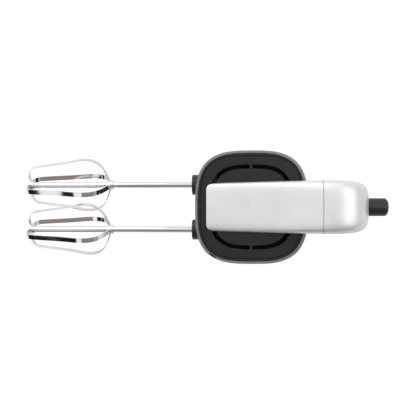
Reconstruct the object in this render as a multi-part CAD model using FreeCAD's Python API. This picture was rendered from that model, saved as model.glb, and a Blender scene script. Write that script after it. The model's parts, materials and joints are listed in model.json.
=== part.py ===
"""Hand mixer with a closed loop handle, built as the separate pieces it comes apart into.

Frame: +X is up when the mixer is in use (the handle is at +X, the beaters hang towards -X), +Y is the
user's right hand side, and +Z is the mixer's nose. The mixer stands on its heel, so Z = 0 is the plane of
the rubber foot, and the origin is on that plane below the middle of the motor body. Millimetres.
"""
import FreeCAD
import Part
import math
import os

Vector = FreeCAD.Vector

UP = Vector(1, 0, 0)
SIDE = Vector(0, 1, 0)
NOSE = Vector(0, 0, 1)

# ---------------------------------------------------------------- driving dimensions
HALF_SIZE = 47.2             # motor body, from its axis to the widest point of its side
SIDE_EXTRA = 0.4             # how much wider than tall the body is, each side
BODY_DEPTH = 152.6           # heel plane to the front face
HEEL_EDGE = 5.0              # rounding of the heel's edge
EDGE_SECTIONS = 6            # sections along that rounding
BODY_SECTIONS = 26           # sections along the body, past the heel's rounding
WALL = 2.4                   # housing wall
FOOT_HEIGHT = 1.2            # rubber foot below the housing's heel
FOOT_INSET = 3.0             # how far the foot stays inside the heel's flat face
FOOT_EDGE = 0.5
SEAM_GAP = 0.1               # half of the gap between two moulded pieces that meet

FACE_HALF_SIZE = HALF_SIZE - 7.0   # front face ring, out to the groove around it
FACE_STEP = 1.2              # how far the face ring stands in front of the body's edge
FACE_GROOVE_WIDTH = 1.1
FACE_GROOVE_DEPTH = 1.4
BEAD_WIDTH = 1.4             # bead outside the groove
SLOT_OUTER = FACE_HALF_SIZE - 6.5  # vent slot in the front face
SLOT_WIDTH = 3.2
SLOT_INNER = SLOT_OUTER - SLOT_WIDTH
SLOT_DEPTH = 8.0
SLOT_LIP = 0.5               # slanted lip along both edges of the slot
SLOT_SQUARENESS = 3.1
SLOT_BRIDGE = 2.0            # rib that crosses the vent slot at each side
STRIP_BRIDGE_HALF = 14.5     # hidden bridges under the front cover

HANDLE_TOP = 95.6            # highest line of the handle
GRIP_THICKNESS = 23.0
GRIP_HALF_WIDTH = 17.6
STRIP_LOW_END = 4.6 - FACE_HALF_SIZE   # lower end of the front cover
STRIP_HALF_WIDTH = 18.6      # half width of the front cover at its lower end
STRUT_HALF_WIDTH = 21.0      # half width of the handle at its nose
STRIP_CORNER = 4.2           # corner radius of the front cover's lower end
COVER_WALL = 2.0
COVER_SEAM_X = 56.0          # where the front cover meets the top cover
COVER_SEAM_HALF = 0.18       # half of the gap there
COVER_BACK_Z = BODY_DEPTH - 2.6    # back edge of the silver covers on the nose

GLAND_Z = 22.0               # cord gland, empty
GLAND_RADIUS = 5.0
GLAND_FLANGE = 1.6           # how far the flange reaches past the hole
GLAND_SEAT = 0.2             # depth of the flange's seat at its middle
GLAND_WALL = 1.6
GLAND_LENGTH = 9.0
GLAND_TOOL = 12.0            # reach of the tools that cut the gland's hole

GEAR_Z = BODY_DEPTH - 32.6   # plane of the gear and beater axes
WIDEST_Z = GEAR_Z - 2.0      # where the body is fullest
BEATER_SPACING = 38.0        # between the two beater axes
ROTOR_X = -13.0              # motor axis height
WORM_STARTS = 2
GEAR_TEETH = 28
WORM_PITCH_RADIUS = 4.5
ADDENDUM = 0.75
DEDENDUM = 1.15
TOOTH_SHARE = 0.42           # tooth thickness as a share of the pitch, at the pitch line
PRESSURE_ANGLE = 20.0
GEAR_WIDTH = 9.0
WORM_LENGTH = 29.0

RUNNING_CLEARANCE = 0.05     # radial, shafts in bearings
FREE_CLEARANCE = 0.35        # between pieces that move past each other

BEATER_SHAFT_RADIUS = 2.6
BEATER_TIP_X = -191.5
BEATER_NECK_X = -119.6
BLADE_RADIUS = 23.4          # widest radius of a beater
BLADE_BAND_WIDTH = 4.0
BLADE_BAND_THICKNESS = 1.1
BLADE_TURN = 22.5            # turn of each beater's wings from the side direction, degrees
SHAFT_IN_HUB_TOP = -22.0     # inner end of an inserted beater shaft
COLLAR_END_X = -HALF_SIZE - 2.7
COLLAR_RADIUS = 8.6
COLLAR_LEDGE = 1.1           # the collar's neck is this much slimmer than its ring
COLLAR_LENGTH = 8.0
COLLAR_EDGE = 0.6
HUB_RADIUS = 5.5

EJECT_TRAVEL = 8.0
EJECT_Z = BODY_DEPTH - 12.6  # axis of the eject button and rod
EJECT_TOP_X = HANDLE_TOP + 14.2
EJECT_RADIUS = 7.3
EJECT_ROD_RADIUS = 3.0
EJECT_CROWN = 3.6            # rounding of the button's top edge
EJECT_FLANGE = 1.6           # how far the flange under the cover reaches past the button
EJECT_FLANGE_X = (HANDLE_TOP - 9.5, HANDLE_TOP - 7.5)
EJECT_ROD_TOP_X = HANDLE_TOP - 2.0
EJECT_SPRING_WIRE = 0.5      # wire radius
EJECT_SPRING_GAP = 0.8       # between the wire and the rod
EJECT_SPRING_TURNS = 8
EJECT_SHELF_HALF_Y = 12.5
EJECT_SHELF_REACH = (-8.0, 9.0)    # shelf behind and in front of the rod
EJECT_SHELF_THICKNESS = 3.0

SLIDER_Z = 100.0             # speed slider at off
SLIDER_TRAVEL = 20.0
SLIDER_LENGTH = 14.0
SLIDER_HALF_WIDTH = 6.0
SLIDER_HEIGHT = 3.2
SLIDER_LIFT = 0.4            # gap between the knob and the cover
SLIDER_EDGE = 1.2
SLIDER_NECK_INSET = 2.0      # neck inside the knob's outline
SLIDER_CARRIAGE = (HANDLE_TOP - 6.2, HANDLE_TOP - 4.6)
SLIDER_CARRIAGE_HALF_Y = 7.0
SLIDER_RIDGES = 5
RIDGE_PITCH = 2.2
RIDGE_HALF_WIDTH = 0.45
RIDGE_DEPTH = 0.6
RIDGE_HALF_LENGTH = 4.4
HANDLE_POINTS = 48           # points of one handle section
HANDLE_SECTIONS = 45         # sections along the handle loop
TURBO_Z = 66.0
TURBO_RADIUS = 6.5
TURBO_HEIGHT = 3.0
TURBO_LOW_X = HANDLE_TOP - 5.6
TURBO_EDGE = 1.4
TURBO_RIM = 2.4              # rim round the button's dish
TURBO_DISH_DEPTH = 0.5
TURBO_FLANGE = 1.2
TURBO_STEM_RADIUS = 2.0
SWITCH_LOW_X = HANDLE_TOP - 15.0   # underside of the two switches
BOARD_X = (HANDLE_TOP - 17.0, HANDLE_TOP - 15.4)

STATOR_HALF_X = 24.0
STATOR_HALF_Y = 29.0
STATOR_REAR_Z = 45.0
STATOR_LENGTH = 28.0
ARMATURE_RADIUS = 15.0
AIR_GAP = 0.5
ROTOR_SHAFT_RADIUS = 2.5
COMMUTATOR_RADIUS = 8.5
FAN_RADIUS = 24.0
FAN_REAR_Z = 84.0
FAN_LENGTH = 9.0
FAN_BLADES = 11

COIL_DEPTH = 7.6             # winding depth, away from the armature
COIL_GAP = 0.4               # between the winding and the bore for the armature
COIL_HALF_X = 19.2
COIL_OVERHANG = 7.0          # winding past each end of the stack
COIL_CLEARANCE = 0.3
COIL_CORNER = 3.0
STATOR_CORNER = 7.0
STATOR_WINDOW_START = 9.0    # the winding spaces open into the bore from here
POLE_HALF_X = 11.0
CORE_SLOTS = 12
CORE_OVERHANG = 1.0          # armature core past each end of the stator
SLOT_ROOT = 9.0              # from the axis to the bottom of a winding slot
SLOT_THROAT = 12.0           # from the axis to where the slot narrows
SLOT_THROAT_HALF = 0.6
SLOT_SHOULDER = 13.6
SLOT_HALF_WIDTH = 1.7
WIRE_MARGIN = 0.2            # between the copper and the slot round it
BUNDLE_LENGTH = 7.0          # end winding past the core
BUNDLE_EDGE = 2.6
COMMUTATOR_BARS = 24
COMMUTATOR_LENGTH = 13.0
COMMUTATOR_CUT_DEPTH = 0.8
COMMUTATOR_CUT_HALF = 0.25
FAN_PLATE = 1.4
FAN_HUB_RADIUS = 6.0
FAN_BLADE_HALF = 0.7

REAR_PLATE_Z = 13.0
REAR_PLATE_THICKNESS = 3.0
REAR_PLATE_HALF_X = 14.0
REAR_PLATE_HALF_Y = 30.0
REAR_PLATE_CORNER = 4.0
BEARING_RADIUS = 6.0
BEARING_BOSS_WALL = 2.0
BEARING_BOSS_REACH = 2.0     # boss behind the plate
BEARING_BOSS_LENGTH = 6.5
BRUSH_TOWER_Y = (14.0, 25.0)  # towers that the brush tubes rest on, out from the axis
BRUSH_TOWER_HALF_X = 5.0
BRUSH_Z = 25.5
BRUSH_HALF = 3.0
BRUSH_LENGTH = 10.0
BRUSH_SIDE_CLEARANCE = 0.1
BRUSH_TUBE_WALL = 0.8
BRUSH_TUBE_END = 27.0
BRUSH_SPRING_RADIUS = 2.1
BRUSH_SPRING_WIRE = 0.35
BRUSH_SPRING_TURNS = 5

LUG_X = -46.0                # drive lugs on the beater shafts
LUG_LENGTH = 3.0
LUG_REACH = 4.2
LUG_HALF_WIDTH = 0.8
CLIP_X = -29.0               # spring rings in the gear hubs
CLIP_OUTER_RADIUS = 3.8
CLIP_THICKNESS = 1.0
CLIP_GAP = 1.6               # opening of the spring ring
CLIP_MARGIN = 0.1            # between the ring and its groove in the hub, each side
SHAFT_GROOVE_DEPTH = 0.4     # groove in the beater shaft that the ring snaps into
SHAFT_GROOVE_LENGTH = 1.6

SCREW_RADIUS = 1.5
SCREW_HEAD_RADIUS = 3.0
SCREW_BOSS_RADIUS = 3.6
SCREW_HEAD_HEIGHT = 1.8
SCREW_CROSS_HALF = 1.8       # cross recess in the head
SCREW_CROSS_WIDTH = 0.8
SCREW_CROSS_DEPTH = 1.0
SCREW_SEAT_Y = 9.0           # how far from the seam the heads sit, down their recesses
SCREW_END_Y = 10.0           # how far past the seam the screws reach

VENT_COUNT = 5               # air outlets in the underside
VENT_START_Z = 46.0
VENT_PITCH = 7.0
VENT_WIDTH = 2.5
VENT_HALF_LENGTH = 14.0
BAFFLE_DEPTH = 5.0           # front of the baffle behind the face
BAFFLE_THICKNESS = 1.6
BAFFLE_HOLES = 12
BAFFLE_HOLE_RADIUS = 1.6

# Places that follow from the sizes above
COIL_NEAR = ARMATURE_RADIUS + AIR_GAP + COIL_GAP
COIL_FAR = COIL_NEAR + COIL_DEPTH
BRUSH_START = COMMUTATOR_RADIUS + 0.1
BRUSH_TUBE_START = COMMUTATOR_RADIUS + 1.6
SPRING_TOP_X = HANDLE_TOP - 10.0
SPRING_LOW_X = HANDLE_TOP - 34.0
HALF_SPACING = BEATER_SPACING / 2
GEAR_PITCH_RADIUS = HALF_SPACING - WORM_PITCH_RADIUS
AXIAL_PITCH = 2 * math.pi * GEAR_PITCH_RADIUS / GEAR_TEETH
WORM_LEAD = AXIAL_PITCH * WORM_STARTS
HELIX_SLOPE = WORM_LEAD / (2 * math.pi * WORM_PITCH_RADIUS)
GEAR_LEAD = 2 * math.pi * GEAR_PITCH_RADIUS / HELIX_SLOPE
HEEL_Z = FOOT_HEIGHT
GEAR_LOW_X = ROTOR_X - GEAR_WIDTH / 2
GEAR_HIGH_X = ROTOR_X + GEAR_WIDTH / 2
GEARBOX_REAR_Z = GEAR_Z - GEAR_PITCH_RADIUS - 9.5
GEARBOX_REAR_WALL = 5.0
GEARBOX_FRONT_Z = GEAR_Z + GEAR_PITCH_RADIUS + 4.1
GEARBOX_FRONT_WALL = 4.0
GEARBOX_HALF_Y = HALF_SPACING + 14.0
GEARBOX_STEP = 6.0           # the nose wall and the bearing plate are this much narrower, each side
GEARBOX_REAR_TOP_X = 8.0
BEARING_PLATE_X = GEAR_HIGH_X + 1.3
BEARING_PLATE_THICKNESS = 2.4
HUB_STUB_RADIUS = 5.0
FORK_X = BEARING_PLATE_X + BEARING_PLATE_THICKNESS + EJECT_TRAVEL + 0.6
FORK_THICKNESS = 2.5
PIN_RADIUS = 1.8
GEARBOX_FLOOR_X = ROTOR_X - 21.0
GEARBOX_FLOOR_THICKNESS = 3.0
GRIP_UNDERSIDE = HANDLE_TOP - GRIP_THICKNESS
GEARBOX_SCREW = (16.2 - HALF_SIZE, BODY_DEPTH - 6.6)
SCREW_PLACES = (
    (21.2 - HALF_SIZE, 22.0),
    (HALF_SIZE - 22.2, 19.0),
    GEARBOX_SCREW,
    (HALF_SIZE - 11.2, GEAR_Z - 1.0),
    (GRIP_UNDERSIDE + 2.6, 48.0),
    (GRIP_UNDERSIDE + 4.8, GEAR_Z - 2.0),
)
FAR = 250.0                  # reach of the tools that cut right through


# ---------------------------------------------------------------- small building tools
def box(x_range, y_range, z_range):
    """Box between two corners, given as ranges along X, Y and Z."""
    size = [span[1] - span[0] for span in (x_range, y_range, z_range)]
    return Part.makeBox(*size, Vector(x_range[0], y_range[0], z_range[0]))


def rod(start, direction, radius, length):
    """Round bar from a start point along a direction."""
    return Part.makeCylinder(radius, length, start, direction)


def tube(start, direction, outer_radius, inner_radius, length):
    """Round bar with a bore through it."""
    return rod(start, direction, outer_radius, length).cut(rod(start, direction, inner_radius, length))


def fused(shapes):
    """One solid from several that touch."""
    return shapes[0].multiFuse(shapes[1:]).removeSplitter()


def mirrored(shape):
    """Copy on the other side of the Y = 0 plane."""
    return shape.mirror(Vector(0, 0, 0), SIDE)


def softened(shape, radius, wanted):
    """The shape with its edges that pass the test rounded."""
    edges = [edge for edge in shape.Edges if wanted(edge)]
    return shape.makeFillet(radius, edges)


def screw_swept(profile, start, direction, length, lead):
    """Profile carried along a line while it turns once per lead, right handed."""
    spine = Part.Wire([Part.makeLine(start, start + direction * length)])
    helix = Part.makeHelix(lead, length, 1.0)
    helix.Placement = FreeCAD.Placement(start, FreeCAD.Rotation(NOSE, direction))
    sweep = Part.BRepOffsetAPI.MakePipeShell(spine)
    sweep.setAuxiliarySpine(Part.Wire(helix.Edges), True, 0)
    sweep.add(profile, False, False)
    sweep.build()
    sweep.makeSolid()
    solid = sweep.shape()
    if solid.Volume < 0:
        solid.reverse()
    return solid


def coil_spring(start, direction, coil_radius, wire_radius, length, turns):
    """Open coil spring whose ends stay inside the stated length."""
    span = length - 2 * wire_radius
    helix = Part.makeHelix(span / turns, span, coil_radius)
    section = Part.Wire([Part.makeCircle(wire_radius, Vector(coil_radius, 0, 0), SIDE)])
    spring = Part.Wire(helix.Edges).makePipeShell([section], True, True)
    spring.Placement = FreeCAD.Placement(start + direction * wire_radius, FreeCAD.Rotation(NOSE, direction))
    return spring


def closed_curve(corners):
    """Smooth closed wire through points, with the same parameters whatever their spacing."""
    curve = Part.BSplineCurve()
    steps = [float(number) for number in range(len(corners) + 1)]
    curve.interpolate(Points=corners, PeriodicFlag=True, Parameters=steps)
    return Part.Wire([curve.toShape()])


def skinned(sections):
    """Solid with one smooth side, drawn along many closed curves of the same kind, and flat ends."""
    curves = [section.Edges[0].Curve for section in sections]
    first = curves[0]
    rows = len(curves)
    knots = [float(number) for number in range(rows - 2)]
    repeats = [4] + [1] * (rows - 4) + [4]
    surface = Part.BSplineSurface()
    surface.buildFromPolesMultsKnots(
        [curve.getPoles() for curve in curves],
        repeats, first.getMultiplicities(), knots, first.getKnots(), False, True, 3, first.Degree,
    )
    ends = [Part.Face(Part.Wire([surface.uIso(knot).toShape()])) for knot in (knots[0], knots[-1])]
    solid = Part.Solid(Part.Shell([surface.toShape()] + ends))
    if solid.Volume < 0:
        solid.reverse()
    return solid


# ---------------------------------------------------------------- motor body outline
def ring_section(z, x_low, x_high, half_y, exponent=3.1, points=24):
    """Closed smooth curve at one Z: a superellipse between two X values and two Y values."""
    centre = (x_low + x_high) / 2
    half_x = (x_high - x_low) / 2
    corners = []
    for index in range(points):
        angle = 2 * math.pi * index / points
        across = (abs(math.cos(angle)) / half_x) ** exponent + (abs(math.sin(angle)) / half_y) ** exponent
        reach = across ** (-1 / exponent)
        corners.append(Vector(centre + reach * math.cos(angle), reach * math.sin(angle), z))
    return closed_curve(corners)


def ring_prism(half_size, z_low, z_high, exponent=3.4):
    """Straight prism with the body's rounded square outline."""
    half_y = half_size + SIDE_EXTRA
    section = ring_section(z_low, -half_size, half_size, half_y, exponent)
    return Part.Face(section).extrude(NOSE * (z_high - z_low))


def body_reach(z, inset=0.0):
    """How far the body reaches at one Z: down, up and to each side."""
    heel_drops = (12.5, 15.5, 11.0)
    taper_powers = (2.0, 1.35, 2.0)
    heel_share = max(WIDEST_Z - z, 0.0) / (WIDEST_Z - HEEL_Z)
    nose_share = max(z - WIDEST_Z, 0.0) / (BODY_DEPTH - WIDEST_Z)
    shoulder = HALF_SIZE - FACE_HALF_SIZE - FACE_GROOVE_WIDTH - BEAD_WIDTH
    edge = HEEL_EDGE - inset
    into_edge = min(max(edge - (z - HEEL_Z - inset), 0.0), edge)
    rounding = edge - math.sqrt(edge ** 2 - into_edge ** 2)
    common_loss = shoulder * nose_share ** 2.6 + rounding + inset
    down, up, side = (
        HALF_SIZE - drop * heel_share ** power - common_loss
        for drop, power in zip(heel_drops, taper_powers)
    )
    return down, up, side + SIDE_EXTRA


def body_solid(inset):
    """Motor body, slim at the heel and full at the gears, made smaller all round by inset."""
    low = HEEL_Z + inset
    high = BODY_DEPTH - FACE_STEP - inset
    quarter = math.pi / 2 / EDGE_SECTIONS
    levels = [low + HEEL_EDGE * (1 - math.cos(quarter * step)) for step in range(EDGE_SECTIONS + 1)]
    gap = (high - levels[-1]) / BODY_SECTIONS
    levels += [levels[-1] + gap * step for step in range(1, BODY_SECTIONS + 1)]
    sections = []
    for z in levels:
        down, up, side = body_reach(z, inset)
        sections.append(ring_section(z, -down, up, side))
    return skinned(sections)


# ---------------------------------------------------------------- handle outline
def handle_section(inner, outer, half_width, exponent, inset):
    """Closed smooth curve across the handle, from a point on its inside to one on its outside."""
    inner_point = Vector(inner[0], 0, inner[1])
    outward = Vector(outer[0] - inner[0], 0, outer[1] - inner[1])
    centre = inner_point + outward / 2
    half_depth = outward.Length / 2 - inset
    half_side = half_width - inset
    outward.normalize()
    corners = []
    for index in range(HANDLE_POINTS):
        angle = 2 * math.pi * (index + 0.5) / HANDLE_POINTS
        side = math.cos(angle)
        along = math.sin(angle)
        reach = (abs(side) ** exponent + abs(along) ** exponent) ** (-1 / exponent)
        corners.append(centre + SIDE * (half_side * reach * side) + outward * (half_depth * reach * along))
    return closed_curve(corners)


def handle_stations():
    """Places along the handle: a point on its inside, one on its outside, half width and squareness."""
    under = GRIP_UNDERSIDE
    top = HANDLE_TOP
    grip = GRIP_HALF_WIDTH
    strut = STRUT_HALF_WIDTH
    strip = STRIP_HALF_WIDTH
    low = STRIP_LOW_END
    face = BODY_DEPTH
    heel = HEEL_Z
    return (
        ((low - 3.0, face - 9.6), (low - 3.0, face + 3.0), strip + 0.1, 6.0),
        ((low + 17.6, face - 10.6), (low + 17.6, face + 4.0), strip + 1.0, 6.2),
        ((low + 38.6, face - 13.1), (low + 38.6, face + 5.4), strip + 1.55, 6.5),
        ((low + 59.6, face - 17.1), (low + 59.6, face + 8.3), strip + 2.1, 7.0),
        ((43.0, face - 21.6), (42.0, face + 12.7), strut - 0.2, 7.0),
        ((56.0, face - 23.6), (59.0, face + 17.0), strut, 6.4),
        ((65.5, face - 25.6), (74.5, face + 17.2), strut, 5.4),
        ((under - 2.2, face - 30.1), (top - 8.2, face + 9.4), strut - 0.8, 4.4),
        ((under - 0.4, face - 37.6), (top - 1.8, face - 5.6), grip + 1.5, 3.8),
        ((under, 104.0), (top, 128.0), grip + 0.4, 3.4),
        ((under, 90.0), (top, 107.0), grip, 3.2),
        ((under, 76.0), (top - 0.4, 84.0), grip, 3.2),
        ((under - 0.3, 62.0), (top - 2.4, 59.0), grip, 3.2),
        ((under - 2.6, 49.5), (top - 8.0, 36.0), grip, 3.2),
        ((under - 8.5, 40.0), (top - 19.0, 18.5), grip, 3.4),
        ((53.0, 35.0), (57.0, heel + 6.0), grip + 0.2, 3.5),
        ((39.0, 33.5), (40.0, heel + 2.9), grip + 0.4, 3.7),
        ((24.0, 33.0), (24.0, heel + 2.4), grip + 0.6, 3.8),
    )


def handle_solid(inset):
    """Front cover, strut, grip and rear strut as one loop, made smaller all round by inset."""
    stations = handle_stations()
    steps = [float(number) for number in range(len(stations))]
    inner_points = [Vector(*inner, width) for inner, _, width, _ in stations]
    outer_points = [Vector(*outer, squareness) for _, outer, _, squareness in stations]
    inside = Part.BSplineCurve()
    inside.interpolate(Points=inner_points, Parameters=steps)
    outside = Part.BSplineCurve()
    outside.interpolate(Points=outer_points, Parameters=steps)
    sections = []
    for index in range(HANDLE_SECTIONS):
        step = steps[-1] * index / (HANDLE_SECTIONS - 1)
        inner = inside.value(step)
        outer = outside.value(step)
        sections.append(handle_section(inner, outer, inner.z, outer.z, inset))
    return skinned(sections)


def strip_outline(inset):
    """Tall prism with the front cover's rounded lower end, which trims the handle loop there."""
    low = STRIP_LOW_END + inset
    half = 2 * STRIP_HALF_WIDTH
    block = box((low, FAR), (-half, half), (-FAR, FAR))
    corner = STRIP_HALF_WIDTH - 0.2 - inset
    for side in (-1, 1):
        radius = STRIP_CORNER
        square = box((low, low + radius), sorted((side * (corner - radius), side * half)), (GEAR_Z, FAR))
        centre = Vector(low + radius, side * (corner - radius), GEAR_Z)
        block = block.cut(square.cut(rod(centre, NOSE, radius, FAR)))
    return block


def cover_zone(offset):
    """Space in front of and above the line where the two outer covers meet the black shells."""
    back = COVER_BACK_Z - offset
    under = GRIP_UNDERSIDE
    line = (
        (-HALF_SIZE - 13.0, back),
        (62.0, back),
        (70.0, back - 3.5),
        (under + 6.5 - offset, back - 14.0),
        (under + 10.5 - offset, GEAR_Z - 8.0),
        (under + 11.5 - offset, 84.0),
        (under + 9.0 - offset, 58.0),
        (under + 4.0 - offset, 40.0),
        (under - 1.0 - offset, 27.0),
    )
    points = [Vector(x, -FAR, z) for x, z in line]
    curve = Part.BSplineCurve()
    curve.interpolate(Points=points[1:])
    far = [Vector(FAR, -FAR, 0.0), Vector(FAR, -FAR, FAR), Vector(line[0][0], -FAR, FAR)]
    edges = [Part.makeLine(points[0], points[1]), curve.toShape()]
    corners = [points[-1]] + far + [points[0]]
    edges += [Part.makeLine(first, second) for first, second in zip(corners, corners[1:])]
    return Part.Face(Part.Wire(edges)).extrude(SIDE * 2 * FAR)


# ---------------------------------------------------------------- openings through the shells
def slider_slot(clearance):
    """Slot in the top cover that the speed slider's neck runs in."""
    half = SLIDER_HALF_WIDTH - SLIDER_NECK_INSET + clearance
    reach = SLIDER_LENGTH / 2 - SLIDER_NECK_INSET + clearance
    span = (SLIDER_Z - SLIDER_TRAVEL - reach, SLIDER_Z + reach)
    return box((HANDLE_TOP - 12.0, HANDLE_TOP + 10.0), (-half, half), span)


def eject_bar(radius, x_low, x_high):
    """Round bar along the eject button's axis."""
    return rod(Vector(x_low, 0, EJECT_Z), UP, radius, x_high - x_low)


def cover_openings():
    """Everything cut out of the top cover for the controls."""
    eject = eject_bar(EJECT_RADIUS + FREE_CLEARANCE, HANDLE_TOP - 14.0, HANDLE_TOP + 10.0)
    turbo = rod(Vector(HANDLE_TOP - 14.0, 0, TURBO_Z), UP, TURBO_RADIUS + FREE_CLEARANCE, 24.0)
    return [slider_slot(FREE_CLEARANCE), eject, turbo]


def gland_place():
    """Middle of the cord inlet on the underside of the body, close to the heel."""
    down = body_reach(GLAND_Z)[0]
    return Vector(-down, 0.0, GLAND_Z)


# ---------------------------------------------------------------- housing
def housing_cavity():
    """All of the space inside the housing shells."""
    return fused([body_solid(WALL), handle_solid(WALL).common(strip_outline(WALL))])


def cradle_ribs(cavity):
    """Ribs inside the shells that hold the motor and the gearbox."""
    motor = box(
        (ROTOR_X - STATOR_HALF_X, ROTOR_X + STATOR_HALF_X),
        (-STATOR_HALF_Y, STATOR_HALF_Y),
        (0.0, 200.0),
    )
    blanks = []
    for z in (STATOR_REAR_Z + 4.0, STATOR_REAR_Z + STATOR_LENGTH - 6.0):
        blanks.append(box((-60.0, ROTOR_X + STATOR_HALF_X - 4.0), (-60.0, 60.0), (z, z + 2.0)).cut(motor))
    return [blank.common(cavity) for blank in blanks]


def screw_bosses(outer):
    """Posts across the seam that the housing screws run through."""
    bosses = [rod(Vector(x, -FAR, z), SIDE, SCREW_BOSS_RADIUS, 2 * FAR) for x, z in SCREW_PLACES]
    return [boss.common(outer) for boss in bosses]


def ring_cone(half_size, spread):
    """Solid through the front face whose outline grows by spread per millimetre towards the nose."""
    sections = []
    for rise in (-SLOT_LIP, SLOT_LIP):
        half = half_size + spread * (rise + SLOT_LIP)
        sections.append(
            ring_section(BODY_DEPTH + rise, -half, half, half + SIDE_EXTRA, SLOT_SQUARENESS)
        )
    return Part.makeLoft(sections, True, True)


def front_face():
    """Shapes to cut from the front: the groove round the face, and the vent slot with its lips."""
    top = BODY_DEPTH + 1.0
    low = BODY_DEPTH - SLOT_DEPTH
    groove_low = BODY_DEPTH - FACE_STEP - FACE_GROOVE_DEPTH
    groove = ring_prism(FACE_HALF_SIZE + FACE_GROOVE_WIDTH, groove_low, top)
    groove = groove.cut(ring_prism(FACE_HALF_SIZE, 0.0, top))
    slot = ring_prism(SLOT_OUTER, low, top, SLOT_SQUARENESS)
    slot = slot.cut(ring_prism(SLOT_INNER, low, top, SLOT_SQUARENESS))
    lips = ring_cone(SLOT_OUTER, 1.0).cut(ring_cone(SLOT_INNER, -1.0))
    hidden = box((-FAR, FAR), (-STRIP_BRIDGE_HALF, STRIP_BRIDGE_HALF), (low, top))
    half = SLOT_BRIDGE / 2
    bridges = box((-half, half), (-FAR, FAR), (low, top))
    return [groove] + [shape.cut(hidden).cut(bridges) for shape in (slot, lips)]


def socket_holes():
    """Holes in the bottom of the body for the two beater sockets."""
    holes = []
    for y in (-HALF_SPACING, HALF_SPACING):
        start = Vector(COLLAR_END_X - 10.0, y, GEAR_Z)
        holes.append(rod(start, UP, COLLAR_RADIUS - COLLAR_LEDGE + SEAM_GAP, 20.0))
    return holes


def vent_slots():
    """Air outlets in the underside, behind the sockets."""
    slots = []
    for index in range(VENT_COUNT):
        z = VENT_START_Z + VENT_PITCH * index
        across = (-VENT_HALF_LENGTH, VENT_HALF_LENGTH)
        slots.append(box((-FAR, 17.0 - HALF_SIZE), across, (z, z + VENT_WIDTH)))
    return slots


def gland_hole():
    """Round hole for the cord gland, with a shallow seat for its flange."""
    place = gland_place()
    start = place - UP * GLAND_TOOL
    hole = rod(start, UP, GLAND_RADIUS, 2 * GLAND_TOOL)
    seat = rod(start, UP, GLAND_RADIUS + GLAND_FLANGE + SEAM_GAP, GLAND_TOOL + GLAND_SEAT)
    return fused([hole, seat])


def plain_shell():
    """Right-hand shell before its screw holes, cut at the seam."""
    half = box((-FAR, FAR), (SEAM_GAP / 2, FAR), (-FAR, FAR))
    face_ring = ring_prism(FACE_HALF_SIZE, BODY_DEPTH - 3.0, BODY_DEPTH)
    loop = handle_solid(0.0).common(strip_outline(0.0)).cut(cover_zone(0.0))
    outer = fused([body_solid(0.0), face_ring, loop])
    shell = outer.cut(housing_cavity()).common(half)
    for addition in cradle_ribs(body_solid(WALL)) + screw_bosses(outer):
        shell = shell.fuse(addition.common(half))
    for opening in front_face() + socket_holes() + vent_slots() + [gland_hole()]:
        shell = shell.cut(opening)
    return largest(shell)


def housing_halves():
    """Left and right shells: the screws' heads are on the left and their threads on the right."""
    right = plain_shell()
    left = mirrored(right)
    for x, z in SCREW_PLACES:
        middle = Vector(x, 0, z)
        right = right.cut(rod(middle, SIDE, SCREW_RADIUS, SCREW_END_Y + 1.0))
        left = left.cut(rod(middle, -SIDE, SCREW_RADIUS + FREE_CLEARANCE, 60.0))
        left = left.cut(rod(middle - SIDE * SCREW_SEAT_Y, -SIDE, SCREW_HEAD_RADIUS + FREE_CLEARANCE, 60.0))
    return left, right


def largest(shape):
    """The biggest solid of a cut result, without loose slivers."""
    return max(shape.Solids, key=lambda solid: solid.Volume)


def handle_covers():
    """Silver front cover and top cover, which meet at a fine seam."""
    outer = handle_solid(0.0).common(strip_outline(0.0))
    inner = handle_solid(COVER_WALL).common(strip_outline(COVER_WALL))
    skin = outer.common(cover_zone(-SEAM_GAP)).cut(inner)
    face_ring = ring_prism(FACE_HALF_SIZE, BODY_DEPTH - 3.0, BODY_DEPTH + SEAM_GAP)
    body = fused([body_solid(-2 * SEAM_GAP), face_ring])
    front_space = box((-FAR, COVER_SEAM_X - COVER_SEAM_HALF), (-FAR, FAR), (COVER_BACK_Z - 20.0, FAR))
    top_space = box((COVER_SEAM_X + COVER_SEAM_HALF, FAR), (-FAR, FAR), (-FAR, FAR))
    front = skin.common(front_space).cut(body)
    top = skin.common(top_space).cut(body).cut(cover_openings())
    return largest(front), largest(top)


# ---------------------------------------------------------------- pieces fixed to the housing
def vent_baffle():
    """Plate behind the vent slot, with short guide walls, so that nothing drops onto the gears."""
    front = BODY_DEPTH - BAFFLE_DEPTH
    plate = ring_prism(SLOT_OUTER + 2.4, front - BAFFLE_THICKNESS, front, SLOT_SQUARENESS)
    ring = ring_prism(SLOT_INNER - 2.0, front, front + 1.4, SLOT_SQUARENESS)
    ring = ring.cut(ring_prism(SLOT_INNER - 3.6, 0.0, FAR, SLOT_SQUARENESS))
    baffle = fused([plate, ring])
    cuts = []
    for index in range(BAFFLE_HOLES):
        angle = 2 * math.pi * (index + 0.5) / BAFFLE_HOLES
        across = SIDE * math.cos(angle) + UP * math.sin(angle)
        start = across * (SLOT_INNER + 1.2) + NOSE * (front - 4.0)
        cuts.append(rod(start, NOSE, BAFFLE_HOLE_RADIUS, 8.0))
    boss_radius = SCREW_BOSS_RADIUS + FREE_CLEARANCE
    for x, z in SCREW_PLACES:
        cuts.append(rod(Vector(x, -FAR, z), SIDE, boss_radius, 2 * FAR))
    return largest(baffle.cut(cuts))


def heel_foot():
    """Rubber foot under the heel, which the mixer stands on."""
    down, up, side = (reach - FOOT_INSET for reach in body_reach(HEEL_Z))
    foot = Part.Face(ring_section(0.0, -down, up, side)).extrude(NOSE * FOOT_HEIGHT)
    return softened(foot, FOOT_EDGE, lambda edge: edge.BoundBox.ZMax < FOOT_EDGE)


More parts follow.
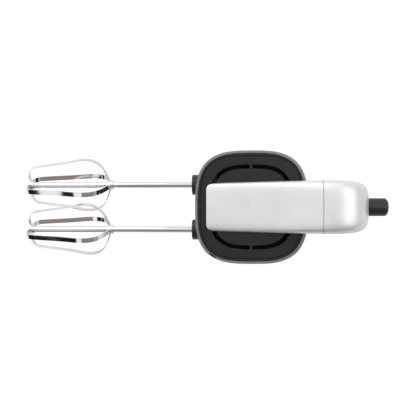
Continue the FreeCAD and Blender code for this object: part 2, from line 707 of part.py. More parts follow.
def cord_gland():
    """Empty gland that the mains lead would leave the body through."""
    low = gland_place() + UP * (GLAND_SEAT - GLAND_WALL)
    flange = rod(low, UP, GLAND_RADIUS + GLAND_FLANGE, GLAND_WALL)
    barrel = rod(low, UP, GLAND_RADIUS - SEAM_GAP, GLAND_LENGTH)
    bore = rod(low - UP, UP, GLAND_RADIUS - GLAND_WALL, GLAND_TOOL)
    return fused([flange, barrel]).cut(bore)


def housing_screws():
    """Self-tapping screws with cross recesses, all put in from the left side."""
    screws = []
    for x, z in SCREW_PLACES:
        seat = Vector(x, -SCREW_SEAT_Y, z)
        head = rod(seat - SIDE * SCREW_HEAD_HEIGHT, SIDE, SCREW_HEAD_RADIUS, SCREW_HEAD_HEIGHT)
        shank = rod(seat, SIDE, SCREW_RADIUS, SCREW_SEAT_Y + SCREW_END_Y)
        low = -SCREW_SEAT_Y - SCREW_HEAD_HEIGHT
        depth = (low - SCREW_CROSS_DEPTH, low + SCREW_CROSS_DEPTH)
        reach = SCREW_CROSS_HALF
        half = SCREW_CROSS_WIDTH / 2
        long_cut = box((x - reach, x + reach), depth, (z - half, z + half))
        short_cut = box((x - half, x + half), depth, (z - reach, z + reach))
        screws.append(fused([head, shank]).cut([long_cut, short_cut]))
    return Part.makeCompound(screws)


def motor_axis_point(z):
    """Point on the motor's axis."""
    return Vector(ROTOR_X, 0, z)


def motor_box(half_x, half_y, z_range):
    """Box centred on the motor's axis."""
    return box((ROTOR_X - half_x, ROTOR_X + half_x), (-half_y, half_y), z_range)


def stator_core():
    """Stack of laminations with two poles and a bore for the armature."""
    z_range = (STATOR_REAR_Z, STATOR_REAR_Z + STATOR_LENGTH)
    stack = motor_box(STATOR_HALF_X, STATOR_HALF_Y, z_range)
    stack = softened(stack, STATOR_CORNER, lambda edge: edge.BoundBox.ZLength > STATOR_LENGTH - 0.1)
    cuts = [rod(motor_axis_point(0), NOSE, ARMATURE_RADIUS + AIR_GAP, FAR)]
    for side in (-1, 1):
        for lift in (-1, 1):
            across = sorted((side * STATOR_WINDOW_START, side * (COIL_FAR + COIL_CLEARANCE)))
            far_x = COIL_HALF_X + COIL_CLEARANCE
            span = sorted((ROTOR_X + lift * POLE_HALF_X, ROTOR_X + lift * far_x))
            cuts.append(box(span, across, (0, FAR)))
    return stack.cut(cuts)


def field_coils():
    """Two wound coils, one round each pole of the stator."""
    inner_x = POLE_HALF_X + COIL_CLEARANCE
    pole_ends = (STATOR_REAR_Z - COIL_GAP, STATOR_REAR_Z + STATOR_LENGTH + COIL_GAP)
    rear = STATOR_REAR_Z - COIL_OVERHANG
    front = STATOR_REAR_Z + STATOR_LENGTH + COIL_OVERHANG
    coils = []
    for side in (-1, 1):
        across = sorted((side * COIL_NEAR, side * COIL_FAR))
        outer = box((ROTOR_X - COIL_HALF_X, ROTOR_X + COIL_HALF_X), across, (rear, front))
        outer = softened(outer, COIL_CORNER, lambda edge: edge.BoundBox.YLength > COIL_DEPTH - 0.1)
        pole = box((ROTOR_X - inner_x, ROTOR_X + inner_x), across, pole_ends)
        coils.append(outer.cut(pole))
    return Part.makeCompound(coils)


def rear_motor_plate():
    """Moulded plate that holds the rear bearing and the two brush tubes."""
    thickness = (REAR_PLATE_Z, REAR_PLATE_Z + REAR_PLATE_THICKNESS)
    plate = motor_box(REAR_PLATE_HALF_X, REAR_PLATE_HALF_Y, thickness)
    upright = REAR_PLATE_THICKNESS - 0.1
    plate = softened(plate, REAR_PLATE_CORNER, lambda edge: edge.BoundBox.ZLength > upright)
    boss_start = motor_axis_point(REAR_PLATE_Z - BEARING_BOSS_REACH)
    boss = rod(boss_start, NOSE, BEARING_RADIUS + BEARING_BOSS_WALL, BEARING_BOSS_LENGTH)
    towers = []
    top = BRUSH_Z - BRUSH_HALF - BRUSH_SIDE_CLEARANCE - BRUSH_TUBE_WALL
    span = (ROTOR_X - BRUSH_TOWER_HALF_X, ROTOR_X + BRUSH_TOWER_HALF_X)
    for side in (-1, 1):
        across = sorted(side * y for y in BRUSH_TOWER_Y)
        towers.append(box(span, across, (REAR_PLATE_Z, top)))
    bore = rod(motor_axis_point(0), NOSE, BEARING_RADIUS, FAR)
    return fused([plate, boss] + towers).cut(bore)


def bearing(z, length):
    """Plain sleeve bearing for the rotor shaft."""
    return tube(motor_axis_point(z), NOSE, BEARING_RADIUS, ROTOR_SHAFT_RADIUS + RUNNING_CLEARANCE, length)


def brush_tubes():
    """Square brass tubes that guide the carbon brushes."""
    half = BRUSH_HALF + BRUSH_SIDE_CLEARANCE
    outer = half + BRUSH_TUBE_WALL
    tubes = []
    for side in (-1, 1):
        across = sorted((side * BRUSH_TUBE_START, side * BRUSH_TUBE_END))
        open_span = sorted((side * (BRUSH_TUBE_START - 1), side * (BRUSH_TUBE_END - BRUSH_TUBE_WALL)))
        shell = box((ROTOR_X - outer, ROTOR_X + outer), across, (BRUSH_Z - outer, BRUSH_Z + outer))
        hollow = box((ROTOR_X - half, ROTOR_X + half), open_span, (BRUSH_Z - half, BRUSH_Z + half))
        tubes.append(shell.cut(hollow))
    return Part.makeCompound(tubes)


def carbon_brushes():
    """Two carbon blocks, hollowed where they bear on the commutator."""
    brushes = []
    for side in (-1, 1):
        across = sorted((side * (BRUSH_START - 1.2), side * (BRUSH_START + BRUSH_LENGTH)))
        span = (ROTOR_X - BRUSH_HALF, ROTOR_X + BRUSH_HALF)
        block = box(span, across, (BRUSH_Z - BRUSH_HALF, BRUSH_Z + BRUSH_HALF))
        brushes.append(block.cut(rod(motor_axis_point(0), NOSE, BRUSH_START, FAR)))
    return Part.makeCompound(brushes)


def brush_springs():
    """Springs that press the brushes onto the commutator."""
    start = BRUSH_START + BRUSH_LENGTH
    length = BRUSH_TUBE_END - BRUSH_TUBE_WALL - start
    springs = []
    for side in (-1, 1):
        place = Vector(ROTOR_X, side * start, BRUSH_Z)
        sizes = (BRUSH_SPRING_RADIUS, BRUSH_SPRING_WIRE, length, BRUSH_SPRING_TURNS)
        springs.append(coil_spring(place, SIDE * side, *sizes))
    return Part.makeCompound(springs)


def gearbox_frame():
    """One moulding with a wall behind the gears, a floor under them and a wall in front."""
    half_y = GEARBOX_HALF_Y
    high = BEARING_PLATE_X + BEARING_PLATE_THICKNESS
    front_end = GEARBOX_FRONT_Z + GEARBOX_FRONT_WALL
    across = (-half_y, half_y)
    rear_span = (GEARBOX_REAR_Z, GEARBOX_REAR_Z + GEARBOX_REAR_WALL)
    floor_span = (GEARBOX_FLOOR_X, GEARBOX_FLOOR_X + GEARBOX_FLOOR_THICKNESS)
    narrow = half_y - GEARBOX_STEP
    rear = box((GEARBOX_FLOOR_X, GEARBOX_REAR_TOP_X), across, rear_span)
    floor = box(floor_span, across, (GEARBOX_REAR_Z, front_end))
    nose_wall = box((GEARBOX_FLOOR_X, high), (-narrow, narrow), (GEARBOX_FRONT_Z, front_end))
    frame = fused([rear, floor, nose_wall])
    cuts = [
        rod(motor_axis_point(0), NOSE, BEARING_RADIUS, GEARBOX_FRONT_Z - 20.0),
        rod(motor_axis_point(GEARBOX_FRONT_Z - 1.0), NOSE, ROTOR_SHAFT_RADIUS + RUNNING_CLEARANCE, 10.0),
    ]
    for y in (-HALF_SPACING, HALF_SPACING):
        cuts.append(rod(Vector(GEARBOX_FLOOR_X - 10.0, y, GEAR_Z), UP, HUB_RADIUS + RUNNING_CLEARANCE, 24.0))
    x, z = GEARBOX_SCREW
    cuts.append(rod(Vector(x, -FAR, z), SIDE, SCREW_BOSS_RADIUS + FREE_CLEARANCE, 2 * FAR))
    return frame.cut(cuts)


def gear_bearing_plate():
    """Plate above the gears that steadies their upper ends."""
    z_range = (GEARBOX_REAR_Z + GEARBOX_REAR_WALL, GEARBOX_FRONT_Z)
    x_range = (BEARING_PLATE_X, BEARING_PLATE_X + BEARING_PLATE_THICKNESS)
    narrow = GEARBOX_HALF_Y - GEARBOX_STEP
    plate = box(x_range, (-narrow, narrow), z_range)
    upright = BEARING_PLATE_THICKNESS - 0.1
    plate = softened(plate, 3.0, lambda edge: edge.BoundBox.XLength > upright)
    cuts = []
    for y in (-HALF_SPACING, HALF_SPACING):
        cuts.append(rod(Vector(-FAR, y, GEAR_Z), UP, HUB_STUB_RADIUS + RUNNING_CLEARANCE, 2 * FAR))
    return plate.cut(cuts)


def socket_collars():
    """Black rings round the two beater sockets in the bottom of the body."""
    collars = []
    body = body_solid(-SEAM_GAP)
    for y in (-HALF_SPACING, HALF_SPACING):
        start = Vector(COLLAR_END_X, y, GEAR_Z)
        ring = rod(start, UP, COLLAR_RADIUS, COLLAR_LENGTH)
        ring = softened(ring, COLLAR_EDGE, lambda edge: edge.BoundBox.XMax < COLLAR_END_X + 0.1)
        ring = ring.cut(body)
        neck = rod(start, UP, COLLAR_RADIUS - COLLAR_LEDGE, COLLAR_LENGTH)
        bore = rod(start - UP, UP, HUB_RADIUS + FREE_CLEARANCE, 12.0)
        collars.append(fused([ring, neck]).cut(bore))
    return Part.makeCompound(collars)


# ---------------------------------------------------------------- rotor
def armature_shaft():
    """Steel shaft from the rear bearing to the nose bearing."""
    rear = REAR_PLATE_Z - 1.5
    front = GEARBOX_FRONT_Z + GEARBOX_FRONT_WALL - 0.5
    return rod(motor_axis_point(rear), NOSE, ROTOR_SHAFT_RADIUS, front - rear)


def on_shaft(shape):
    """The shape with the rotor shaft's hole through it."""
    return shape.cut(rod(motor_axis_point(0), NOSE, ROTOR_SHAFT_RADIUS, FAR))


def turned_copies(shape, count):
    """Copies of a shape drawn out from the origin, set evenly round the motor's axis."""
    copies = []
    for index in range(count):
        copy = shape.copy()
        turn = FreeCAD.Rotation(NOSE, 360.0 * index / count)
        copy.Placement = FreeCAD.Placement(motor_axis_point(0), turn)
        copies.append(copy)
    return copies


def armature_core():
    """Laminated core with its winding slots."""
    rear = motor_axis_point(STATOR_REAR_Z - CORE_OVERHANG)
    core = rod(rear, NOSE, ARMATURE_RADIUS, STATOR_LENGTH + 2 * CORE_OVERHANG)
    slot = box((SLOT_ROOT, SLOT_SHOULDER), (-SLOT_HALF_WIDTH, SLOT_HALF_WIDTH), (0, FAR))
    throat_x = (SLOT_THROAT, ARMATURE_RADIUS + 1.0)
    throat = box(throat_x, (-SLOT_THROAT_HALF, SLOT_THROAT_HALF), (0, FAR))
    return on_shaft(core.cut(turned_copies(slot.fuse(throat), CORE_SLOTS)))


def armature_windings():
    """Copper wound through the core's slots, with an end bundle at each end."""
    rear = STATOR_REAR_Z - CORE_OVERHANG
    front = STATOR_REAR_Z + STATOR_LENGTH + CORE_OVERHANG
    radius = SLOT_SHOULDER - WIRE_MARGIN
    bundles = []
    for z in (rear - BUNDLE_LENGTH, front):
        bundle = rod(motor_axis_point(z), NOSE, radius, BUNDLE_LENGTH)
        bundles.append(softened(bundle, BUNDLE_EDGE, lambda edge: edge.Length > 4 * radius))
    half = SLOT_HALF_WIDTH - WIRE_MARGIN
    bar = box((SLOT_ROOT + WIRE_MARGIN, radius), (-half, half), (rear - 2.0, front + 2.0))
    return on_shaft(fused(bundles + turned_copies(bar, CORE_SLOTS)))


def commutator():
    """Ring of copper bars that the brushes touch."""
    start = motor_axis_point(BRUSH_Z - COMMUTATOR_LENGTH / 2 + 0.5)
    ring = rod(start, NOSE, COMMUTATOR_RADIUS, COMMUTATOR_LENGTH)
    reach = (COMMUTATOR_RADIUS - COMMUTATOR_CUT_DEPTH, COMMUTATOR_RADIUS + 1.0)
    cut = box(reach, (-COMMUTATOR_CUT_HALF, COMMUTATOR_CUT_HALF), (0, FAR))
    return on_shaft(ring.cut(turned_copies(cut, COMMUTATOR_BARS)))


def cooling_fan():
    """Moulded fan with straight blades on a back plate."""
    plate_z = FAN_REAR_Z + FAN_LENGTH - FAN_PLATE
    plate = rod(motor_axis_point(plate_z), NOSE, FAN_RADIUS, FAN_PLATE)
    hub = rod(motor_axis_point(FAN_REAR_Z), NOSE, FAN_HUB_RADIUS, FAN_LENGTH)
    reach = (FAN_HUB_RADIUS - 1.0, FAN_RADIUS - 0.6)
    length = (FAN_REAR_Z, plate_z + FAN_PLATE / 2)
    blade = box(reach, (-FAN_BLADE_HALF, FAN_BLADE_HALF), length)
    return on_shaft(fused([plate, hub] + turned_copies(blade, FAN_BLADES)))


def drive_worm():
    """Two-start worm that turns both gears."""
    tip = WORM_PITCH_RADIUS + ADDENDUM
    root = WORM_PITCH_RADIUS - DEDENDUM
    slope = math.tan(math.radians(PRESSURE_ANGLE))
    half_pitch_tooth = TOOTH_SHARE * AXIAL_PITCH / 2
    start_z = GEAR_Z - WORM_LEAD * (0.25 + 0.5 * round((WORM_LENGTH / 2) / (WORM_LEAD / 2) - 0.5))

    def on_thread(radius, side, start):
        """Point of the thread's cross section at a radius, on one flank of one start."""
        half_tooth = half_pitch_tooth + (WORM_PITCH_RADIUS - radius) * slope
        angle = side * 2 * math.pi * half_tooth / WORM_LEAD + start * 2 * math.pi / WORM_STARTS
        return Vector(radius * math.cos(angle), radius * math.sin(angle), 0)

    radii = [root + (tip - root) * step / 3 for step in range(4)]
    edges = []
    for start in range(WORM_STARTS):
        rising = [on_thread(radius, -1, start) for radius in radii]
        falling = [on_thread(radius, 1, start) for radius in reversed(radii)]
        crest = Vector(tip * math.cos(start * math.pi), tip * math.sin(start * math.pi), 0)
        valley_angle = (start + 0.5) * math.pi
        valley = Vector(root * math.cos(valley_angle), root * math.sin(valley_angle), 0)
        following = on_thread(root, -1, start + 1)
        edges += [smooth_edge(rising), Part.Arc(rising[-1], crest, falling[0]).toShape()]
        edges += [smooth_edge(falling), Part.Arc(falling[-1], valley, following).toShape()]
    profile = Part.Wire(edges)
    profile.translate(motor_axis_point(start_z))
    thread = screw_swept(profile, motor_axis_point(start_z), NOSE, WORM_LENGTH, WORM_LEAD)
    return on_shaft(thread)


def smooth_edge(points):
    """Smooth open curve through points."""
    curve = Part.BSplineCurve()
    curve.interpolate(Points=points)
    return curve.toShape()


# ---------------------------------------------------------------- gears and beaters
def gear_profile():
    """Outline of one gear in its own plane, with a tooth gap facing each side."""
    tip = GEAR_PITCH_RADIUS + ADDENDUM
    root = GEAR_PITCH_RADIUS - DEDENDUM
    slope = math.tan(math.radians(PRESSURE_ANGLE))
    half_tooth = TOOTH_SHARE * AXIAL_PITCH / 2
    corners = []
    for tooth in range(GEAR_TEETH):
        middle = 2 * math.pi * (tooth + 0.5) / GEAR_TEETH
        for side, radius in ((-1, root), (-1, tip), (1, tip), (1, root)):
            half = (half_tooth + (GEAR_PITCH_RADIUS - radius) * slope) / radius
            corners.append((middle + side * half, radius))
    return [Vector(0, radius * math.cos(angle), radius * math.sin(angle)) for angle, radius in corners]


def drive_gear(y):
    """Helical gear with a long hollow hub that carries one beater."""
    axis_low = Vector(GEAR_LOW_X, y, GEAR_Z)
    lead_turn = -math.degrees(GEAR_WIDTH / 2 * HELIX_SLOPE / GEAR_PITCH_RADIUS)
    corners = gear_profile()
    profile = Part.makePolygon(corners + [corners[0]])
    profile.rotate(Vector(0, 0, 0), UP, lead_turn)
    profile.translate(axis_low)
    teeth = screw_swept(profile, axis_low, UP, GEAR_WIDTH, GEAR_LEAD)
    hub = rod(Vector(COLLAR_END_X + 0.6, y, GEAR_Z), UP, HUB_RADIUS, GEAR_LOW_X - COLLAR_END_X)
    stub_top = BEARING_PLATE_X + BEARING_PLATE_THICKNESS + 0.2
    stub = rod(Vector(GEAR_HIGH_X - 1.0, y, GEAR_Z), UP, HUB_STUB_RADIUS, stub_top - GEAR_HIGH_X + 1.0)
    gear = fused([teeth, hub, stub])
    bore = rod(Vector(-FAR, y, GEAR_Z), UP, BEATER_SHAFT_RADIUS + RUNNING_CLEARANCE, 2 * FAR)
    lug = LUG_REACH + 0.3
    half = LUG_HALF_WIDTH + 0.15
    slot_top = LUG_X + LUG_LENGTH + 0.3
    slot = box((-FAR, slot_top), (y - lug, y + lug), (GEAR_Z - half, GEAR_Z + half))
    dish_radii = (HUB_RADIUS + 1.5, GEAR_PITCH_RADIUS - 3.0)
    dish = tube(Vector(GEAR_LOW_X - 0.1, y, GEAR_Z), UP, dish_radii[1], dish_radii[0], 2.6)
    groove_length = CLIP_THICKNESS + 2 * CLIP_MARGIN
    groove_start = Vector(CLIP_X - groove_length / 2, y, GEAR_Z)
    clip_groove = rod(groove_start, UP, CLIP_OUTER_RADIUS, groove_length)
    return gear.cut([bore, slot, dish, clip_groove])


def shaft_clip(y):
    """Spring ring inside the gear's hub that snaps into the beater shaft's groove."""
    inner = BEATER_SHAFT_RADIUS + RUNNING_CLEARANCE
    start = Vector(CLIP_X - CLIP_THICKNESS / 2, y, GEAR_Z)
    ring = tube(start, UP, CLIP_OUTER_RADIUS - CLIP_MARGIN, inner, CLIP_THICKNESS)
    half = CLIP_GAP / 2
    gap = box((CLIP_X - 2.0, CLIP_X + 2.0), (y - half, y + half), (GEAR_Z, GEAR_Z + 8.0))
    return ring.cut(gap)


def beater_shaft(y):
    """Chromed shaft with its drive lugs, clip groove and the rivet end at the tip."""
    tip = BEATER_TIP_X + 4.5
    shaft = rod(Vector(tip, y, GEAR_Z), UP, BEATER_SHAFT_RADIUS, SHAFT_IN_HUB_TOP - tip)
    shaft = softened(shaft, 0.8, lambda edge: edge.BoundBox.XMin > SHAFT_IN_HUB_TOP - 0.1)
    across = (y - LUG_REACH, y + LUG_REACH)
    height = (GEAR_Z - LUG_HALF_WIDTH, GEAR_Z + LUG_HALF_WIDTH)
    lugs = box((LUG_X, LUG_X + LUG_LENGTH), across, height)
    groove_start = Vector(CLIP_X - SHAFT_GROOVE_LENGTH / 2, y, GEAR_Z)
    groove_floor = BEATER_SHAFT_RADIUS - SHAFT_GROOVE_DEPTH
    groove = tube(groove_start, UP, CLIP_OUTER_RADIUS, groove_floor, SHAFT_GROOVE_LENGTH)
    return fused([shaft, lugs]).cut(groove)


def blade_line(offset):
    """Outer line of one wing in its own plane, as X and radius, moved inwards by offset."""
    full = BLADE_RADIUS
    tip = BEATER_TIP_X
    neck = BEATER_NECK_X
    return [
        (tip + 1.6 + offset, BEATER_SHAFT_RADIUS + 0.4),
        (tip + 0.2 + offset, full * 0.32),
        (tip + 1.0 + offset, full * 0.5 - offset * 0.4),
        (tip + 3.4 + offset * 0.6, full * 0.65 - offset * 0.8),
        (tip + 8.4, full * 0.725 - offset),
        (tip + 22.0, full * 0.812 - offset),
        (tip + 37.0, full * 0.908 - offset),
        (tip + 52.0, full - offset),
        (neck - 11.5, full * 0.9 - offset),
        (neck - 6.0, full * 0.66 - offset * 0.9),
        (neck - 2.6 - offset * 0.7, full * 0.36 - offset * 0.6),
        (neck - 0.6 - offset, BEATER_SHAFT_RADIUS + 0.4),
    ]


def blade_wing(y, angle):
    """One bent wing of a beater, from the neck round to the tip."""
    thickness = BLADE_BAND_THICKNESS
    outer = [Vector(x, radius, 0) for x, radius in blade_line(0.0)]
    inner = [Vector(x, radius, 0) for x, radius in blade_line(thickness)]
    edges = [
        smooth_edge(outer),
        Part.makeLine(outer[-1], inner[-1]),
        smooth_edge(inner[::-1]),
        Part.makeLine(inner[0], outer[0]),
    ]
    half = BLADE_BAND_WIDTH / 2
    band = Part.Face(Part.Wire(edges)).extrude(NOSE * BLADE_BAND_WIDTH)
    band.translate(NOSE * -half)
    band.rotate(Vector(0, 0, 0), UP, angle)
    band.translate(Vector(0, y, GEAR_Z))
    return band


def beater_blades(y):
    """Four wings joined by a collar at the neck and a disc at the tip."""
    wings = [blade_wing(y, BLADE_TURN + 90.0 * index) for index in range(4)]
    neck_x = BEATER_NECK_X - 2.4
    neck = rod(Vector(neck_x, y, GEAR_Z), UP, BEATER_SHAFT_RADIUS + 1.3, 4.0)
    tip = rod(Vector(BEATER_TIP_X + 1.0, y, GEAR_Z), UP, BEATER_SHAFT_RADIUS + 1.0, 3.4)
    blades = fused(wings + [neck, tip])
    return blades.cut(rod(Vector(BEATER_TIP_X + 4.5, y, GEAR_Z), UP, BEATER_SHAFT_RADIUS, 200.0))


# ---------------------------------------------------------------- eject button
def eject_button():
    """Round post on top of the handle that is pushed down to release the beaters."""
    post = eject_bar(EJECT_RADIUS, HANDLE_TOP - 8.0, EJECT_TOP_X)
    post = softened(post, EJECT_CROWN, lambda edge: edge.BoundBox.XMin > EJECT_TOP_X - 0.1)
    flange = eject_bar(EJECT_RADIUS + EJECT_FLANGE, *EJECT_FLANGE_X)
    socket = eject_bar(EJECT_ROD_RADIUS, HANDLE_TOP - 20.0, EJECT_ROD_TOP_X)
    return fused([post, flange]).cut(socket)


def eject_rod():
    """Rod from the button down through the handle's front strut to the fork."""
    return eject_bar(EJECT_ROD_RADIUS, FORK_X + FORK_THICKNESS, EJECT_ROD_TOP_X)


def eject_fork():
    """Plate under the rod, with a pin down each gear's hub."""
    x_range = (FORK_X, FORK_X + FORK_THICKNESS)
    rear = GEAR_Z - 5.0
    plate = box(x_range, (-HALF_SPACING - 4.0, HALF_SPACING + 4.0), (rear, GEAR_Z + 5.0))
    tongue = box(x_range, (-6.0, 6.0), (rear, EJECT_Z + 5.0))
    shape = fused([plate, tongue])
    shape = softened(shape, 2.0, lambda edge: edge.BoundBox.XLength > FORK_THICKNESS - 0.1)
    pin_low = SHAFT_IN_HUB_TOP + 0.4
    pins = []
    for y in (-HALF_SPACING, HALF_SPACING):
        pins.append(rod(Vector(pin_low, y, GEAR_Z), UP, PIN_RADIUS, FORK_X - pin_low))
    return fused([shape] + pins)


def eject_spring():
    """Spring round the rod that lifts the button again."""
    low = Vector(SPRING_LOW_X, 0, EJECT_Z)
    radius = EJECT_ROD_RADIUS + EJECT_SPRING_GAP + EJECT_SPRING_WIRE
    length = SPRING_TOP_X - SPRING_LOW_X
    return coil_spring(low, UP, radius, EJECT_SPRING_WIRE, length, EJECT_SPRING_TURNS)


def eject_guide():
    """Shelf inside the nose that the rod slides through and the spring stands on."""
    x_range = (SPRING_LOW_X - EJECT_SHELF_THICKNESS, SPRING_LOW_X)
    z_range = tuple(EJECT_Z + reach for reach in EJECT_SHELF_REACH)
    block = box(x_range, (-EJECT_SHELF_HALF_Y, EJECT_SHELF_HALF_Y), z_range)
    return block.cut(eject_bar(EJECT_ROD_RADIUS + RUNNING_CLEARANCE, 0.0, 100.0))


# ---------------------------------------------------------------- controls in the grip
def speed_slider():
    """Slider knob with finger ridges, a neck through the slot and a carriage below it."""
    rear = SLIDER_Z - SLIDER_LENGTH / 2
    front = SLIDER_Z + SLIDER_LENGTH / 2
    low = HANDLE_TOP + SLIDER_LIFT
    top = low + SLIDER_HEIGHT
    knob = box((low, top), (-SLIDER_HALF_WIDTH, SLIDER_HALF_WIDTH), (rear, front))
    knob = softened(knob, SLIDER_EDGE, lambda edge: edge.BoundBox.XMin > low + 0.1)
    inset = SLIDER_NECK_INSET
    neck_half = SLIDER_HALF_WIDTH - inset
    neck = box((SLIDER_CARRIAGE[1], low), (-neck_half, neck_half), (rear + inset, front - inset))
    across = (-SLIDER_CARRIAGE_HALF_Y, SLIDER_CARRIAGE_HALF_Y)
    carriage = box(SLIDER_CARRIAGE, across, (rear + inset, front))
    ridges = []
    for index in range(SLIDER_RIDGES):
        z = SLIDER_Z + (index - (SLIDER_RIDGES - 1) / 2) * RIDGE_PITCH
        span = (z - RIDGE_HALF_WIDTH, z + RIDGE_HALF_WIDTH)
        ridges.append(box((top - RIDGE_DEPTH, top + 1.0), (-RIDGE_HALF_LENGTH, RIDGE_HALF_LENGTH), span))
    return fused([knob, neck, carriage]).cut(ridges)


def speed_switch():
    """Switch body under the slider, which stands on the circuit board."""
    length = (SLIDER_Z - SLIDER_TRAVEL - 6.0, SLIDER_Z + 6.0)
    return box((SWITCH_LOW_X, HANDLE_TOP - 6.6), (-8.0, 8.0), length)


def circuit_board():
    """Speed control board that lies in the grip."""
    return box(BOARD_X, (-11.0, 11.0), (TURBO_Z - 12.0, SLIDER_Z + 8.0))


def turbo_button():
    """Round button behind the slider for the highest speed."""
    low = TURBO_LOW_X
    top = HANDLE_TOP + TURBO_HEIGHT
    cap = rod(Vector(low, 0, TURBO_Z), UP, TURBO_RADIUS, top - low)
    cap = softened(cap, TURBO_EDGE, lambda edge: edge.BoundBox.XMin > top - 0.1)
    dish_start = Vector(top - TURBO_DISH_DEPTH, 0, TURBO_Z)
    dish = rod(dish_start, UP, TURBO_RADIUS - TURBO_RIM, TURBO_HEIGHT)
    flange = rod(Vector(low - 1.0, 0, TURBO_Z), UP, TURBO_RADIUS + TURBO_FLANGE, 1.4)
    stem = rod(Vector(low - 2.0, 0, TURBO_Z), UP, TURBO_STEM_RADIUS, 1.6)
    return fused([cap, flange, stem]).cut(dish)


def turbo_switch():
    """Small switch under the turbo button."""
    return box((SWITCH_LOW_X, HANDLE_TOP - 10.6), (-5.0, 5.0), (TURBO_Z - 5.5, TURBO_Z + 5.5))


# ---------------------------------------------------------------- everything together
def all_pieces():
    """Every piece of the mixer by name."""
    left_shell, right_shell = housing_halves()
    front_cover, top_cover = handle_covers()
    pieces = {
        "left_housing": left_shell,
        "right_housing": right_shell,
        "handle_front_cover": front_cover,
        "handle_top_cover": top_cover,
        "vent_baffle": vent_baffle(),
        "heel_foot": heel_foot(),
        "cord_gland": cord_gland(),
        "housing_screws": housing_screws(),
        "stator_core": stator_core(),
        "field_coils": field_coils(),
        "rear_motor_plate": rear_motor_plate(),
        "rear_bearing": bearing(REAR_PLATE_Z - 2.0, REAR_PLATE_THICKNESS + 3.0),
        "front_bearing": bearing(GEARBOX_REAR_Z, GEARBOX_REAR_WALL),
        "brush_tubes": brush_tubes(),
        "carbon_brushes": carbon_brushes(),
        "brush_springs": brush_springs(),
        "gearbox_frame": gearbox_frame(),
        "gear_bearing_plate": gear_bearing_plate(),
        "socket_collars": socket_collars(),
        "eject_guide": eject_guide(),
        "eject_spring": eject_spring(),
        "speed_switch": speed_switch(),
        "circuit_board": circuit_board(),
        "turbo_switch": turbo_switch(),
        "armature_shaft": armature_shaft(),
        "armature_core": armature_core(),
        "armature_windings": armature_windings(),
        "commutator": commutator(),
        "cooling_fan": cooling_fan(),
        "drive_worm": drive_worm(),
        "eject_button": eject_button(),
        "eject_rod": eject_rod(),
        "eject_fork": eject_fork(),
        "speed_slider": speed_slider(),
        "turbo_button": turbo_button(),
    }
    for side, y in (("left", -HALF_SPACING), ("right", HALF_SPACING)):
        pieces[f"{side}_drive_gear"] = drive_gear(y)
        pieces[f"{side}_shaft_clip"] = shaft_clip(y)
        pieces[f"{side}_beater_shaft"] = beater_shaft(y)
        pieces[f"{side}_beater_blades"] = beater_blades(y)
    return pieces


def main():
    """Build every piece and write one STEP file for each."""
    os.makedirs("parts", exist_ok=True)
    for name, shape in all_pieces().items():
        print(name, shape.isValid(), round(shape.Volume), len(shape.Solids))
        shape.exportStep(f"parts/{name}.step")


main()
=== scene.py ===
"""Finishes, controls and studio for a hand mixer with a loop handle.

Everything is in metres in the mixer's own frame: +X is up in use (the handle), -X points at the beaters,
+Y is the user's right hand side and +Z is the nose. The mixer stands on its heel at Z = 0.
"""

import json
import logging
import math
from collections.abc import Callable, Iterable
from dataclasses import dataclass, field
from enum import Enum

import bpy
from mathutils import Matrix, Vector

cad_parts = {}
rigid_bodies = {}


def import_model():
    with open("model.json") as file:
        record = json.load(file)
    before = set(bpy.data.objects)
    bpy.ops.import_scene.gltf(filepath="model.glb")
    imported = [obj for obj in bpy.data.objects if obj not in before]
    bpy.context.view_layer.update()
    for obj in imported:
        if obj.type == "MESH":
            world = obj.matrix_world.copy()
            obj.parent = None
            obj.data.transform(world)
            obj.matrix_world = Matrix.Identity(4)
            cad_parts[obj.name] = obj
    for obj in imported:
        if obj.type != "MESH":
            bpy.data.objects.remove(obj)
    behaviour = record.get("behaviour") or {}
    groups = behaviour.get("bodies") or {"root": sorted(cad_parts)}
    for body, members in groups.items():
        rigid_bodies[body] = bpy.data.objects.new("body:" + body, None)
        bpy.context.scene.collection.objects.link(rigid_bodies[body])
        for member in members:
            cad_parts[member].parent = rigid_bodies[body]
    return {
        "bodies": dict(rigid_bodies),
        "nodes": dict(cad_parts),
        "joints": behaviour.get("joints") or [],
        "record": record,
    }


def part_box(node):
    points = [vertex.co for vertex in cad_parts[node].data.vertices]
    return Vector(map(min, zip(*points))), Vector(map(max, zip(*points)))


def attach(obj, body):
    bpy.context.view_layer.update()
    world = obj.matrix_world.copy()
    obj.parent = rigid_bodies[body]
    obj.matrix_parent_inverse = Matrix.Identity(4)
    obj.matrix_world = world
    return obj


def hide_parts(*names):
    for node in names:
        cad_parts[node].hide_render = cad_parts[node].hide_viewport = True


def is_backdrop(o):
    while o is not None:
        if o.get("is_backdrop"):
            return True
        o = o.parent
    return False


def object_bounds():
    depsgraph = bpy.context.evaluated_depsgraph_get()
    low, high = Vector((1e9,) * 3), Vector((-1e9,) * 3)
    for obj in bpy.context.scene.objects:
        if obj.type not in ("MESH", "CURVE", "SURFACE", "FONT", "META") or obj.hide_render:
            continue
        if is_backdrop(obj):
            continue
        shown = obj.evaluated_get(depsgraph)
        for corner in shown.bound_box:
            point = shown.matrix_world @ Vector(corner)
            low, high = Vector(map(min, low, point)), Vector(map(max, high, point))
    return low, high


LOG = logging.getLogger("hand_mixer")
MILLIMETRE = 0.001
HAIRLINE_WEIGHT = 0.6        # hairlines against rubbed patches in the handling marks
FACING = 0.9                 # a face whose normal is at least this far along an axis faces that way

Colour = tuple[float, float, float]
Place = tuple[float, float, float]
Step = tuple[float, float]


